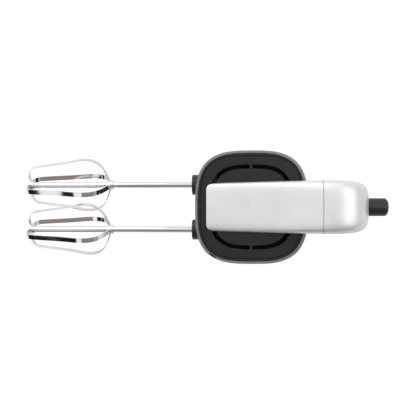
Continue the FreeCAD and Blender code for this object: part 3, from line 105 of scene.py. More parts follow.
# ---------------------------------------------------------------- node sheets and shared effects
class NodeSheet:
    """Places nodes in a shader tree and joins their sockets."""

    def __init__(self, tree: bpy.types.NodeTree) -> None:
        """Start with the tree's nodes cleared away.

        Args:
            tree: The node tree to fill.
        """
        self.tree = tree
        tree.nodes.clear()

    def add(
        self, kind: str, settings: dict[str, object] | None = None, **values: object
    ) -> bpy.types.Node:
        """Place one node.

        Args:
            kind: Blender's name for the node type.
            settings: Attributes to set on the node itself.
            values: Input socket values, by socket name with underscores for spaces.

        Returns:
            The new node.
        """
        node = self.tree.nodes.new(kind)
        for name, value in (settings or {}).items():
            setattr(node, name, value)
        for name, value in values.items():
            node.inputs[name.replace("_", " ")].default_value = value
        return node

    def join(self, source: bpy.types.NodeSocket, target: bpy.types.NodeSocket) -> None:
        """Join an output socket to an input socket."""
        self.tree.links.new(source, target)

    def blend(
        self,
        share: bpy.types.NodeSocket,
        first: Colour | bpy.types.NodeSocket,
        second: Colour | bpy.types.NodeSocket,
    ) -> bpy.types.NodeSocket:
        """Blend two colours, each a fixed colour or a socket.

        Args:
            share: How much of the second colour shows.
            first: Colour at share 0.
            second: Colour at share 1.

        Returns:
            The blended colour's socket.
        """
        mix = self.add("ShaderNodeMix", {"data_type": "RGBA"})
        ends = [socket for socket in mix.inputs if socket.type == "RGBA"]
        for end, colour in zip(ends, (first, second)):
            if isinstance(colour, tuple):
                end.default_value = (*colour, 1.0)
            else:
                self.join(colour, end)
        self.join(share, mix.inputs["Factor"])
        return next(socket for socket in mix.outputs if socket.type == "RGBA")


class Effect(Enum):
    """Surface effects that several finishes share, each built once as a node group."""

    CLOUDING = "Clouding"
    HANDLING_MARKS = "Handling marks"
    SPARK_GRAIN = "Spark grain"
    METAL_FLAKE = "Metal flake"
    DRAWN_LINES = "Drawn lines"
    STACKED_SHEETS = "Stacked sheets"
    WOUND_WIRE = "Wound wire"


class EffectShelf:
    """Builds each shared effect the first time it is wanted and hands out the same group afterwards."""

    def __init__(self) -> None:
        """Start with an empty shelf."""
        self.built: dict[Effect, bpy.types.NodeTree] = {}
        self.makers: dict[Effect, Callable[[NodeSheet, bpy.types.Node, bpy.types.Node], None]] = {
            Effect.CLOUDING: self._clouding,
            Effect.HANDLING_MARKS: self._handling_marks,
            Effect.SPARK_GRAIN: self._spark_grain,
            Effect.METAL_FLAKE: self._metal_flake,
            Effect.DRAWN_LINES: self._drawn_lines,
            Effect.STACKED_SHEETS: self._stacked_sheets,
            Effect.WOUND_WIRE: self._wound_wire,
        }

    def group(self, effect: Effect) -> bpy.types.NodeTree:
        """The node group of an effect, with inputs Vector and Density and one output, Amount.

        Args:
            effect: Which effect is wanted.

        Returns:
            The shader node group.
        """
        if effect not in self.built:
            tree = bpy.data.node_groups.new(effect.value, "ShaderNodeTree")
            tree.interface.new_socket("Vector", in_out="INPUT", socket_type="NodeSocketVector")
            tree.interface.new_socket("Density", in_out="INPUT", socket_type="NodeSocketFloat")
            tree.interface.new_socket("Amount", in_out="OUTPUT", socket_type="NodeSocketFloat")
            sheet = NodeSheet(tree)
            self.makers[effect](sheet, sheet.add("NodeGroupInput"), sheet.add("NodeGroupOutput"))
            self.built[effect] = tree
        return self.built[effect]

    def _clouding(self, sheet: NodeSheet, given: bpy.types.Node, result: bpy.types.Node) -> None:
        """Broad soft patches, for slow changes of colour.

        Args:
            sheet: The group's node sheet.
            given: The group's input node.
            result: The group's output node.
        """
        noise = sheet.add("ShaderNodeTexNoise", Detail=3.0, Roughness=0.5)
        spread = sheet.add("ShaderNodeMapRange", From_Min=0.35, From_Max=0.65)
        sheet.join(given.outputs["Vector"], noise.inputs["Vector"])
        sheet.join(given.outputs["Density"], noise.inputs["Scale"])
        sheet.join(noise.outputs["Fac"], spread.inputs["Value"])
        sheet.join(spread.outputs["Result"], result.inputs["Amount"])

    def _handling_marks(self, sheet: NodeSheet, given: bpy.types.Node, result: bpy.types.Node) -> None:
        """Sparse rubbed patches and hairlines, for roughness.

        Args:
            sheet: The group's node sheet.
            given: The group's input node.
            result: The group's output node.
        """
        stretch = sheet.add("ShaderNodeMapping", Scale=(1.0, 9.0, 2.5), Rotation=(0.5, 0.3, 0.7))
        hairs = sheet.add("ShaderNodeTexNoise", Detail=5.0, Roughness=0.7)
        patches = sheet.add("ShaderNodeTexNoise", Detail=2.0)
        sharper = sheet.add("ShaderNodeMapRange", From_Min=0.52, From_Max=0.72)
        both = sheet.add("ShaderNodeMath", {"operation": "MULTIPLY_ADD"})
        sheet.join(given.outputs["Vector"], stretch.inputs["Vector"])
        sheet.join(stretch.outputs["Vector"], hairs.inputs["Vector"])
        sheet.join(given.outputs["Density"], hairs.inputs["Scale"])
        sheet.join(given.outputs["Vector"], patches.inputs["Vector"])
        sheet.join(given.outputs["Density"], patches.inputs["Scale"])
        sheet.join(hairs.outputs["Fac"], sharper.inputs["Value"])
        sheet.join(sharper.outputs["Result"], both.inputs[0])
        both.inputs[1].default_value = HAIRLINE_WEIGHT
        sheet.join(patches.outputs["Fac"], both.inputs[2])
        sheet.join(both.outputs["Value"], result.inputs["Amount"])

    def _spark_grain(self, sheet: NodeSheet, given: bpy.types.Node, result: bpy.types.Node) -> None:
        """Fine pits and hills of a spark-eroded mould.

        Args:
            sheet: The group's node sheet.
            given: The group's input node.
            result: The group's output node.
        """
        hills = sheet.add("ShaderNodeTexNoise", Detail=2.0, Roughness=0.6)
        pits = sheet.add("ShaderNodeTexVoronoi", {"feature": "SMOOTH_F1"}, Smoothness=0.6)
        mix = sheet.add("ShaderNodeMath", {"operation": "ADD"})
        for texture in (hills, pits):
            sheet.join(given.outputs["Vector"], texture.inputs["Vector"])
            sheet.join(given.outputs["Density"], texture.inputs["Scale"])
        sheet.join(hills.outputs["Fac"], mix.inputs[0])
        sheet.join(pits.outputs["Distance"], mix.inputs[1])
        sheet.join(mix.outputs["Value"], result.inputs["Amount"])

    def _metal_flake(self, sheet: NodeSheet, given: bpy.types.Node, result: bpy.types.Node) -> None:
        """Small flakes lying at slightly different tilts in paint.

        Args:
            sheet: The group's node sheet.
            given: The group's input node.
            result: The group's output node.
        """
        flakes = sheet.add("ShaderNodeTexVoronoi", {"feature": "F1"}, Randomness=1.0)
        split = sheet.add("ShaderNodeSeparateColor")
        sheet.join(given.outputs["Vector"], flakes.inputs["Vector"])
        sheet.join(given.outputs["Density"], flakes.inputs["Scale"])
        sheet.join(flakes.outputs["Color"], split.inputs["Color"])
        sheet.join(split.outputs["Red"], result.inputs["Amount"])

    def _drawn_lines(self, sheet: NodeSheet, given: bpy.types.Node, result: bpy.types.Node) -> None:
        """Long fine lines along X, left by drawing and polishing.

        Args:
            sheet: The group's node sheet.
            given: The group's input node.
            result: The group's output node.
        """
        stretch = sheet.add("ShaderNodeMapping", Scale=(0.04, 1.0, 1.0))
        lines = sheet.add("ShaderNodeTexNoise", Detail=4.0, Roughness=0.65)
        sheet.join(given.outputs["Vector"], stretch.inputs["Vector"])
        sheet.join(stretch.outputs["Vector"], lines.inputs["Vector"])
        sheet.join(given.outputs["Density"], lines.inputs["Scale"])
        sheet.join(lines.outputs["Fac"], result.inputs["Amount"])

    def _stacked_sheets(self, sheet: NodeSheet, given: bpy.types.Node, result: bpy.types.Node) -> None:
        """Edges of thin sheets stacked along Z.

        Args:
            sheet: The group's node sheet.
            given: The group's input node.
            result: The group's output node.
        """
        bands = sheet.add(
            "ShaderNodeTexWave",
            {"wave_type": "BANDS", "bands_direction": "Z", "wave_profile": "SIN"},
            Distortion=0.4, Detail=1.0,
        )
        sheet.join(given.outputs["Vector"], bands.inputs["Vector"])
        sheet.join(given.outputs["Density"], bands.inputs["Scale"])
        sheet.join(bands.outputs["Fac"], result.inputs["Amount"])

    def _wound_wire(self, sheet: NodeSheet, given: bpy.types.Node, result: bpy.types.Node) -> None:
        """Round wires laid side by side, a little uneven.

        Args:
            sheet: The group's node sheet.
            given: The group's input node.
            result: The group's output node.
        """
        bands = sheet.add(
            "ShaderNodeTexWave",
            {"wave_type": "BANDS", "bands_direction": "Y", "wave_profile": "SIN"},
            Distortion=1.6, Detail=2.0, Detail_Scale=0.6,
        )
        sheet.join(given.outputs["Vector"], bands.inputs["Vector"])
        sheet.join(given.outputs["Density"], bands.inputs["Scale"])
        sheet.join(bands.outputs["Fac"], result.inputs["Amount"])


# ---------------------------------------------------------------- finishes
@dataclass(frozen=True)
class Finish:
    """One surface finish: two near colours, a fine pattern with depth, and rubbed patches."""

    name: str
    colour: Colour
    second_colour: Colour
    roughness: float
    roughness_spread: float
    metallic: float
    pattern: Effect
    pattern_density: float
    pattern_depth: float
    pattern_in_colour: float = 0.0
    cloud_density: float = 30.0
    mark_density: float = 60.0
    coat_weight: float = 0.0
    coat_roughness: float = 0.1
    specular_level: float = 0.5
    sheen_weight: float = 0.0

    def build(self, effects: EffectShelf) -> bpy.types.Material:
        """Make the material.

        Args:
            effects: Shelf that the shared effects come from.

        Returns:
            The finished material.
        """
        material = bpy.data.materials.new(self.name)
        material.use_nodes = True
        sheet = NodeSheet(material.node_tree)
        place = sheet.add("ShaderNodeTexCoord")
        shader = sheet.add("ShaderNodeBsdfPrincipled", Metallic=self.metallic)
        shader.inputs["Coat Weight"].default_value = self.coat_weight
        shader.inputs["Coat Roughness"].default_value = self.coat_roughness
        shader.inputs["Specular IOR Level"].default_value = self.specular_level
        shader.inputs["Sheen Weight"].default_value = self.sheen_weight
        output = sheet.add("ShaderNodeOutputMaterial")
        sheet.join(shader.outputs["BSDF"], output.inputs["Surface"])
        clouds = self._effect(sheet, effects, place, Effect.CLOUDING, self.cloud_density)
        marks = self._effect(sheet, effects, place, Effect.HANDLING_MARKS, self.mark_density)
        pattern = self._effect(sheet, effects, place, self.pattern, self.pattern_density)
        self._colour(sheet, clouds, pattern, shader)
        self._roughness(sheet, marks, shader)
        bump = sheet.add("ShaderNodeBump", Strength=1.0, Distance=self.pattern_depth)
        sheet.join(pattern, bump.inputs["Height"])
        sheet.join(bump.outputs["Normal"], shader.inputs["Normal"])
        return material

    def _effect(
        self, sheet: NodeSheet, effects: EffectShelf, place: bpy.types.Node, effect: Effect, density: float
    ) -> bpy.types.NodeSocket:
        """Place one shared effect.

        Args:
            sheet: The material's node sheet.
            effects: Shelf that the effect comes from.
            place: Texture coordinate node.
            effect: Which effect is wanted.
            density: How closely its features lie, per metre.

        Returns:
            The effect's Amount socket.
        """
        node = sheet.add("ShaderNodeGroup", {"node_tree": effects.group(effect)})
        node.inputs["Density"].default_value = density
        sheet.join(place.outputs["Object"], node.inputs["Vector"])
        return node.outputs["Amount"]

    def _colour(
        self,
        sheet: NodeSheet,
        clouds: bpy.types.NodeSocket,
        pattern: bpy.types.NodeSocket,
        shader: bpy.types.Node,
    ) -> None:
        """Blend the two colours over the surface.

        Args:
            sheet: The material's node sheet.
            clouds: Slow changes, 0 to 1.
            pattern: The fine pattern, 0 to 1.
            shader: The surface shader.
        """
        share = sheet.add("ShaderNodeMix", {"data_type": "FLOAT"})
        share.inputs["Factor"].default_value = self.pattern_in_colour
        sheet.join(clouds, share.inputs["A"])
        sheet.join(pattern, share.inputs["B"])
        colours = sheet.blend(share.outputs["Result"], self.colour, self.second_colour)
        sheet.join(colours, shader.inputs["Base Color"])

    def _roughness(self, sheet: NodeSheet, marks: bpy.types.NodeSocket, shader: bpy.types.Node) -> None:
        """Let rubbed patches change the roughness.

        Args:
            sheet: The material's node sheet.
            marks: Handling marks, about 0 to 1.
            shader: The surface shader.
        """
        spread = sheet.add("ShaderNodeMapRange", From_Min=0.2, From_Max=1.0)
        spread.inputs["To Min"].default_value = self.roughness
        spread.inputs["To Max"].default_value = self.roughness + self.roughness_spread
        sheet.join(marks, spread.inputs["Value"])
        sheet.join(spread.outputs["Result"], shader.inputs["Roughness"])


FINISHES: dict[str, Finish] = {
    "black_plastic": Finish(
        "Grained black plastic", (0.008, 0.008, 0.0082), (0.012, 0.012, 0.0122), 0.32, 0.10, 0.0,
        Effect.SPARK_GRAIN, 1500.0, 0.00002, specular_level=0.30, sheen_weight=0.14,
    ),
    "silver_paint": Finish(
        "Silver metallic paint", (0.70, 0.70, 0.715), (0.80, 0.80, 0.81), 0.42, 0.08, 0.75,
        Effect.METAL_FLAKE, 1900.0, 0.00002, pattern_in_colour=0.55, coat_weight=0.15,
    ),
    "gloss_black": Finish(
        "Smooth black plastic", (0.010, 0.010, 0.011), (0.014, 0.014, 0.015), 0.26, 0.08, 0.0,
        Effect.SPARK_GRAIN, 900.0, 0.00001, specular_level=0.5,
    ),
    "rubber": Finish(
        "Soft black rubber", (0.024, 0.024, 0.024), (0.036, 0.035, 0.034), 0.68, 0.14, 0.0,
        Effect.SPARK_GRAIN, 1200.0, 0.00008,
    ),
    "steel": Finish(
        "Plated steel", (0.56, 0.56, 0.58), (0.48, 0.48, 0.49), 0.24, 0.16, 1.0,
        Effect.DRAWN_LINES, 2500.0, 0.00002,
    ),
    "lamination": Finish(
        "Stacked core steel", (0.30, 0.31, 0.33), (0.22, 0.22, 0.23), 0.42, 0.15, 0.85,
        Effect.STACKED_SHEETS, 320.0, 0.00015, pattern_in_colour=0.5,
    ),
    "copper": Finish(
        "Enamelled winding wire", (0.62, 0.25, 0.10), (0.42, 0.14, 0.05), 0.26, 0.12, 0.9,
        Effect.WOUND_WIRE, 360.0, 0.00030, pattern_in_colour=0.4, coat_weight=0.5,
    ),
    "brass": Finish(
        "Drawn brass", (0.72, 0.52, 0.22), (0.60, 0.42, 0.17), 0.28, 0.14, 1.0,
        Effect.DRAWN_LINES, 2200.0, 0.00002,
    ),
    "carbon": Finish(
        "Pressed carbon", (0.030, 0.030, 0.033), (0.055, 0.055, 0.058), 0.55, 0.15, 0.1,
        Effect.SPARK_GRAIN, 1800.0, 0.00006,
    ),
    "white_plastic": Finish(
        "Milky moulded plastic", (0.74, 0.73, 0.68), (0.68, 0.66, 0.60), 0.36, 0.12, 0.0,
        Effect.SPARK_GRAIN, 1100.0, 0.00002,
    ),
    "board": Finish(
        "Board laminate", (0.05, 0.20, 0.09), (0.03, 0.14, 0.06), 0.34, 0.10, 0.0,
        Effect.WOUND_WIRE, 900.0, 0.00002, pattern_in_colour=0.3, coat_weight=0.3,
    ),
    "chrome": Finish(
        "Polished chrome", (0.80, 0.80, 0.81), (0.74, 0.74, 0.755), 0.035, 0.06, 1.0,
        Effect.DRAWN_LINES, 1800.0, 0.000004,
    ),
}

# Matte black, darker and less shiny than the plastic's own black, for the vent baffle: painted shade deep
# inside the vent slot.
BAFFLE_PAINTED_SHADE = Finish(
    "Black plastic darkened as painted slot shade", (0.003, 0.003, 0.003), (0.005, 0.005, 0.005), 0.75, 0.10, 0.0,
    Effect.SPARK_GRAIN, 1500.0, 0.00004, specular_level=0.08,
)
SCALE_INK = Finish(
    "Printed scale", (0.045, 0.045, 0.048), (0.065, 0.065, 0.068), 0.45, 0.10, 0.0,
    Effect.SPARK_GRAIN, 1400.0, 0.00001,
)


class FinishRack:
    """Every finish built once, found by the record's slot name."""

    def __init__(self) -> None:
        """Build the shared effects and all the finishes."""
        effects = EffectShelf()
        self.by_slot = {slot: finish.build(effects) for slot, finish in FINISHES.items()}
        # The darker baffle black is painted shade for the vent slot.
        self.baffle = BAFFLE_PAINTED_SHADE.build(effects)
        self.ink = SCALE_INK.build(effects)

    def dress(self, piece: bpy.types.Object, slot: str) -> None:
        """Give a piece the finish of a slot.

        Args:
            piece: The object to dress.
            slot: The record's slot name.
        """
        self.paint(piece, self.by_slot[slot])

    def paint(self, piece: bpy.types.Object, material: bpy.types.Material) -> None:
        """Make one material a piece's only material."""
        piece.data.materials.clear()
        piece.data.materials.append(material)


# ---------------------------------------------------------------- workbench for new pieces
class Workbench:
    """Hand tools for modelling: start shapes, face choosing, edge rounding and finishing."""

    def clear(self) -> None:
        """Leave edit mode and deselect everything."""
        if bpy.context.mode != "OBJECT":
            bpy.ops.object.mode_set(mode="OBJECT")
        bpy.ops.object.select_all(action="DESELECT")

    def post(
        self, name: str, start: Vector, radius: float, length: float, sides: int = 72
    ) -> bpy.types.Object:
        """Round bar that rises along +X.

        Args:
            name: Name of the new piece.
            start: Middle of its lower end.
            radius: Radius of the bar.
            length: Length along X.
            sides: Number of flats round it.

        Returns:
            The new object with its place in its mesh.
        """
        self.clear()
        bpy.ops.mesh.primitive_cylinder_add(
            vertices=sides, radius=radius, depth=length,
            location=start + Vector((length / 2, 0, 0)), rotation=(0, math.pi / 2, 0),
        )
        return self.settle(bpy.context.object, name)

    def block(self, name: str, low: Vector, high: Vector) -> bpy.types.Object:
        """Block between two corners.

        Args:
            name: Name of the new piece.
            low: Lowest corner.
            high: Highest corner.

        Returns:
            The new object with its place in its mesh.
        """
        self.clear()
        bpy.ops.mesh.primitive_cube_add(size=1.0, location=(low + high) / 2)
        piece = bpy.context.object
        piece.scale = high - low
        return self.settle(piece, name)

    def settle(self, piece: bpy.types.Object, name: str) -> bpy.types.Object:
        """Name a piece and move its place and turn into its mesh.

        Args:
            piece: The object to settle.
            name: Its name.

        Returns:
            The same object.
        """
        piece.name = name
        piece.data.name = name
        self.clear()
        piece.select_set(True)
        bpy.context.view_layer.objects.active = piece
        bpy.ops.object.transform_apply(location=True, rotation=True, scale=True)
        return piece

    def choose_faces(
        self, piece: bpy.types.Object, wanted: Callable[[bpy.types.MeshPolygon], bool]
    ) -> None:
        """Select only the faces that pass a test, and go into edit mode with face select.

        Args:
            piece: The object to work on.
            wanted: Test on a face.
        """
        self.clear()
        piece.select_set(True)
        bpy.context.view_layer.objects.active = piece
        bpy.ops.object.mode_set(mode="EDIT")
        bpy.ops.mesh.select_mode(type="FACE")
        bpy.ops.mesh.select_all(action="DESELECT")
        bpy.ops.object.mode_set(mode="OBJECT")
        for face in piece.data.polygons:
            face.select = wanted(face)
        bpy.ops.object.mode_set(mode="EDIT")

    def push(self, step: Vector) -> None:
        """Extrude what is selected by a step."""
        bpy.ops.mesh.extrude_region_move(TRANSFORM_OT_translate={"value": step})

    def shrink(self, share: tuple[float, float, float], middle: Vector) -> None:
        """Scale what is selected about a point."""
        bpy.ops.transform.resize(value=share, center_override=middle)

    def inset(self, width: float, depth: float = 0.0) -> None:
        """Inset the chosen faces by a width and sink them by a depth."""
        bpy.ops.mesh.inset(thickness=width, depth=-depth)

    def leave(self) -> None:
        """Go back to object mode."""
        bpy.ops.object.mode_set(mode="OBJECT")

    def round_edges(
        self, piece: bpy.types.Object, radius: float, segments: int = 4, angle: float = 40.0
    ) -> None:
        """Round every edge sharper than an angle.

        Args:
            piece: The object to work on.
            radius: Radius of the rounding.
            segments: Steps in the rounding.
            angle: Smallest angle that is rounded, in degrees.
        """
        bevel = piece.modifiers.new("Rounding", "BEVEL")
        bevel.width = radius
        bevel.segments = segments
        bevel.limit_method = "ANGLE"
        bevel.angle_limit = math.radians(angle)
        bevel.use_clamp_overlap = True
        self.apply(piece)

    def apply(self, piece: bpy.types.Object) -> None:
        """Apply all of a piece's modifiers."""
        self.clear()
        piece.select_set(True)
        bpy.context.view_layer.objects.active = piece
        for name in [modifier.name for modifier in piece.modifiers]:
            bpy.ops.object.modifier_apply(modifier=name)

    def join(self, pieces: Iterable[bpy.types.Object], name: str) -> bpy.types.Object:
        """Make several objects one piece.

        Args:
            pieces: The objects, of which the first keeps its data.
            name: Name of the result.

        Returns:
            The joined object.
        """
        listed = list(pieces)
        self.clear()
        for piece in listed:
            piece.select_set(True)
        bpy.context.view_layer.objects.active = listed[0]
        bpy.ops.object.join()
        joined = bpy.context.object
        joined.name = name
        joined.data.name = name
        return joined

    def smooth(self, piece: bpy.types.Object, angle: float = 35.0) -> None:
        """Shade a piece smooth, with edges sharper than an angle kept crisp."""
        self.clear()
        piece.select_set(True)
        bpy.context.view_layer.objects.active = piece
        bpy.ops.object.shade_smooth_by_angle(angle=math.radians(angle))


# ---------------------------------------------------------------- sub-assemblies
@dataclass
class CarriedPieces:
    """The pieces that keep their shape and only get their finish."""

    rack: FinishRack

    def dress(self, frame: dict) -> int:
        """Give every carried-over node the finish of its slot.


        Returns:
            How many nodes were dressed.
        """
        for row in frame["record"]["subparts"]:
            self.rack.dress(frame["nodes"][row["node"]], row["material_slot"])
        # The vent baffle gets the darker black instead of its slot's finish, as painted shade inside the
        # vent slot.
        self.rack.paint(frame["nodes"]["vent_baffle"], self.rack.baffle)
        return len(frame["record"]["subparts"])


@dataclass
class RoundButton:
    """Round button that is pushed along its axis, with a flange that keeps it in its hole."""

    bench: Workbench
    rack: FinishRack
    name: str
    node: str
    body: str
    flange_reach: float
    flange_height: float
    crown_radius: float
    dish_depth: float
    stem_length: float = 0.0
    stem_radius: float = 2.0 * MILLIMETRE
    crown_steps: int = 8
    dish_rim: float = 0.12
    dish_floor: float = 0.8
    slot: str = "gloss_black"

    def build(self) -> bpy.types.Object:
        """Model the button in the place of its CAD node.

        Returns:
            The button.
        """
        low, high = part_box(self.node)
        middle = (low + high) / 2
        flange_radius = (high.y - low.y) / 2
        start = Vector((low.x + self.stem_length, middle.y, middle.z))
        button = self.bench.post(self.name, start, flange_radius, self.flange_height)
        if self.stem_length:
            self._stem(button, flange_radius)
        self.bench.choose_faces(button, lambda face: face.normal.x > FACING)
        self.bench.inset(self.flange_reach)
        straight = high.x - start.x - self.flange_height - self.crown_radius
        self.bench.push(Vector((straight, 0, 0)))
        self._crown(flange_radius - self.flange_reach, middle)
        self.bench.leave()
        self.bench.smooth(button)
        self.rack.dress(button, self.slot)
        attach(button, self.body)
        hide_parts(self.node)
        return button

    def _stem(self, button: bpy.types.Object, flange_radius: float) -> None:
        """Draw a thin stem down from the flange.

        Args:
            button: The button so far.
            flange_radius: Radius of its flange.
        """
        self.bench.choose_faces(button, lambda face: face.normal.x < -FACING)
        self.bench.inset(flange_radius - self.stem_radius)
        self.bench.push(Vector((-self.stem_length, 0, 0)))

    def _crown(self, radius: float, middle: Vector) -> None:
        """Round the top edge in steps, then sink a shallow dish in the top.

        Args:
            radius: Radius of the button's shank.
            middle: Point on its axis.
        """
        reach = radius
        height = 0.0
        for step in range(1, self.crown_steps + 1):
            angle = math.pi / 2 * step / self.crown_steps
            next_reach = radius - self.crown_radius * (1 - math.cos(angle))
            next_height = self.crown_radius * math.sin(angle)
            self.bench.push(Vector((next_height - height, 0, 0)))
            self.bench.shrink((1.0, next_reach / reach, next_reach / reach), middle)
            reach = next_reach
            height = next_height
        self.bench.inset(reach * self.dish_rim)
        self.bench.push(Vector((-self.dish_depth, 0, 0)))
        self.bench.shrink((1.0, self.dish_floor, self.dish_floor), middle)


@dataclass
class SpeedKnob:
    """Slider knob with finger ridges, its neck through the slot and the carriage below."""

    bench: Workbench
    rack: FinishRack
    ridge_count: int = 5
    ridge_pitch: float = 2.2 * MILLIMETRE
    ridge_width: float = 1.0 * MILLIMETRE
    ridge_height: float = 0.6 * MILLIMETRE
    ridge_margin: float = 1.4 * MILLIMETRE
    ridge_root: float = 1.8 * MILLIMETRE
    ridge_rounding: float = 0.8
    knob_height: float = 3.2 * MILLIMETRE
    neck_margin: float = 2.0 * MILLIMETRE
    carriage_height: float = 1.6 * MILLIMETRE
    side_margin: float = 1.0 * MILLIMETRE
    slot: str = "gloss_black"

    def build(self) -> bpy.types.Object:
        """Model the knob in the place of its CAD node.

        Returns:
            The knob.
        """
        low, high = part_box("speed_slider")
        knob_low = high.x - self.knob_height
        side = high.y - self.side_margin
        knob = self.bench.block(
            "speed_knob",
            Vector((knob_low, -side, low.z)),
            Vector((high.x - self.ridge_height, side, high.z)),
        )
        self.bench.choose_faces(knob, lambda face: face.normal.x > FACING)
        self.bench.inset(self.ridge_margin)
        self.bench.push(Vector((-self.ridge_height / 2, 0, 0)))
        self.bench.leave()
        self.bench.round_edges(knob, self.ridge_height)
        parts = [knob]
        neck_side = side - self.neck_margin
        neck = self.bench.block(
            "knob_neck",
            Vector((low.x + self.carriage_height, -neck_side, low.z + self.neck_margin)),
            Vector((knob_low + self.ridge_height, neck_side, high.z - self.neck_margin)),
        )
        carriage = self.bench.block(
            "knob_carriage",
            Vector((low.x, low.y, low.z + self.neck_margin)),
            Vector((low.x + self.carriage_height, high.y, high.z)),
        )
        for part in (neck, carriage):
            self.bench.round_edges(part, self.ridge_height / 2)
            parts.append(part)
        parts += [self._ridge(index, low, high, side) for index in range(self.ridge_count)]
        piece = self.bench.join(parts, "speed_knob")
        self.bench.smooth(piece)
        self.rack.dress(piece, self.slot)
        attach(piece, "slider")
        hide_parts("speed_slider")
        return piece

    def _ridge(self, index: int, low: Vector, high: Vector, side: float) -> bpy.types.Object:
        """One finger ridge across the knob.

        Args:
            index: Number of the ridge, from the rear.
            low: Lowest corner of the slider.
            high: Highest corner of the slider.
            side: Half width of the knob.

        Returns:
            The rounded ridge.
        """
        z = (low.z + high.z) / 2 + (index - (self.ridge_count - 1) / 2) * self.ridge_pitch
        half = self.ridge_width / 2
        reach = side - self.ridge_margin - half
        ridge = self.bench.block(
            f"knob_ridge_{index}",
            Vector((high.x - self.ridge_root, -reach, z - half)),
            Vector((high.x, reach, z + half)),
        )
        self.bench.round_edges(ridge, half * self.ridge_rounding)
        return ridge


@dataclass
class SpeedScale:
    """Digits and tick marks beside the speed slider's slot."""

    bench: Workbench
    rack: FinishRack
    steps: int = 6
    digit_height: float = 3.4 * MILLIMETRE
    digit_gap: float = 4.4 * MILLIMETRE
    tick_length: float = 2.2 * MILLIMETRE
    tick_width: float = 0.5 * MILLIMETRE
    ink_thickness: float = 0.12 * MILLIMETRE
    travel: float = 20.0 * MILLIMETRE

    def build(self) -> bpy.types.Object:
        """Lay the digits and ticks on the top cover.

        Returns:
            The scale as one piece.
        """
        low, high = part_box("speed_slider")
        above = high.x + MILLIMETRE
        first = (low.z + high.z) / 2
        marks = []
        for step in range(self.steps):
            z = first - self.travel * step / (self.steps - 1)
            marks.append(self._tick(step, Vector((above, high.y + MILLIMETRE, z))))
            marks.append(self._digit(step, Vector((above, high.y + self.digit_gap, z))))
        scale = self.bench.join(marks, "speed_scale")
        self._lay_down(scale)
        self.rack.paint(scale, self.rack.ink)
        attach(scale, "housing")
        return scale

    def _tick(self, step: int, place: Vector) -> bpy.types.Object:
        """One short line beside the slot.

        Args:
            step: Number of the step it marks.
            place: Its inner end.

        Returns:
            The flat tick.
        """
        self.bench.clear()
        middle = place + Vector((0, self.tick_length / 2, 0))
        bpy.ops.mesh.primitive_grid_add(
            x_subdivisions=4, y_subdivisions=2, size=1.0,
            location=middle, rotation=(math.pi / 2, 0, math.pi / 2),
        )
        tick = bpy.context.object
        tick.scale = (self.tick_length, self.tick_width, 1.0)
        return self.bench.settle(tick, f"scale_tick_{step}")

    def _digit(self, step: int, place: Vector) -> bpy.types.Object:
        """One digit that reads from behind the mixer.

        Args:
            step: The digit.
            place: Middle of its left edge.

        Returns:
            The flat digit.
        """
        self.bench.clear()
        bpy.ops.object.text_add(location=place, rotation=(math.pi / 2, 0, math.pi / 2))
        digit = bpy.context.object
        digit.data.body = str(step)
        digit.data.size = self.digit_height
        digit.data.align_y = "CENTER"
        bpy.ops.object.convert(target="MESH")
        return self.bench.settle(bpy.context.object, f"scale_digit_{step}")

    def _lay_down(self, scale: bpy.types.Object) -> None:
        """Project the flat marks onto the cover and give them the thickness of ink.

        Args:
            scale: The joined marks.
        """
        wrap = scale.modifiers.new("Onto the cover", "SHRINKWRAP")
        wrap.wrap_method = "PROJECT"
        wrap.use_project_x = True
        wrap.use_project_y = False
        wrap.use_project_z = False
        wrap.use_negative_direction = True
        wrap.use_positive_direction = False
        wrap.target = bpy.data.objects["handle_top_cover"]
        solid = scale.modifiers.new("Ink", "SOLIDIFY")
        solid.thickness = self.ink_thickness
        solid.offset = 0.0
        self.bench.apply(scale)


# ---------------------------------------------------------------- studio
@dataclass(frozen=True)
class SoftLight:
    """One large soft lamp."""

    name: str
    place: Place
    aim: Place
    size: float
    power: float

    def hang(self) -> None:
        """Put the lamp up, facing its aim."""
        data = bpy.data.lights.new(self.name, "AREA")
        data.shape = "DISK"
        data.size = self.size
        data.energy = self.power
        lamp = bpy.data.objects.new(self.name, data)
        lamp.location = self.place
        direction = Vector(self.aim) - Vector(self.place)
        lamp.rotation_euler = direction.to_track_quat("-Z", "Y").to_euler()
        bpy.context.scene.collection.objects.link(lamp)


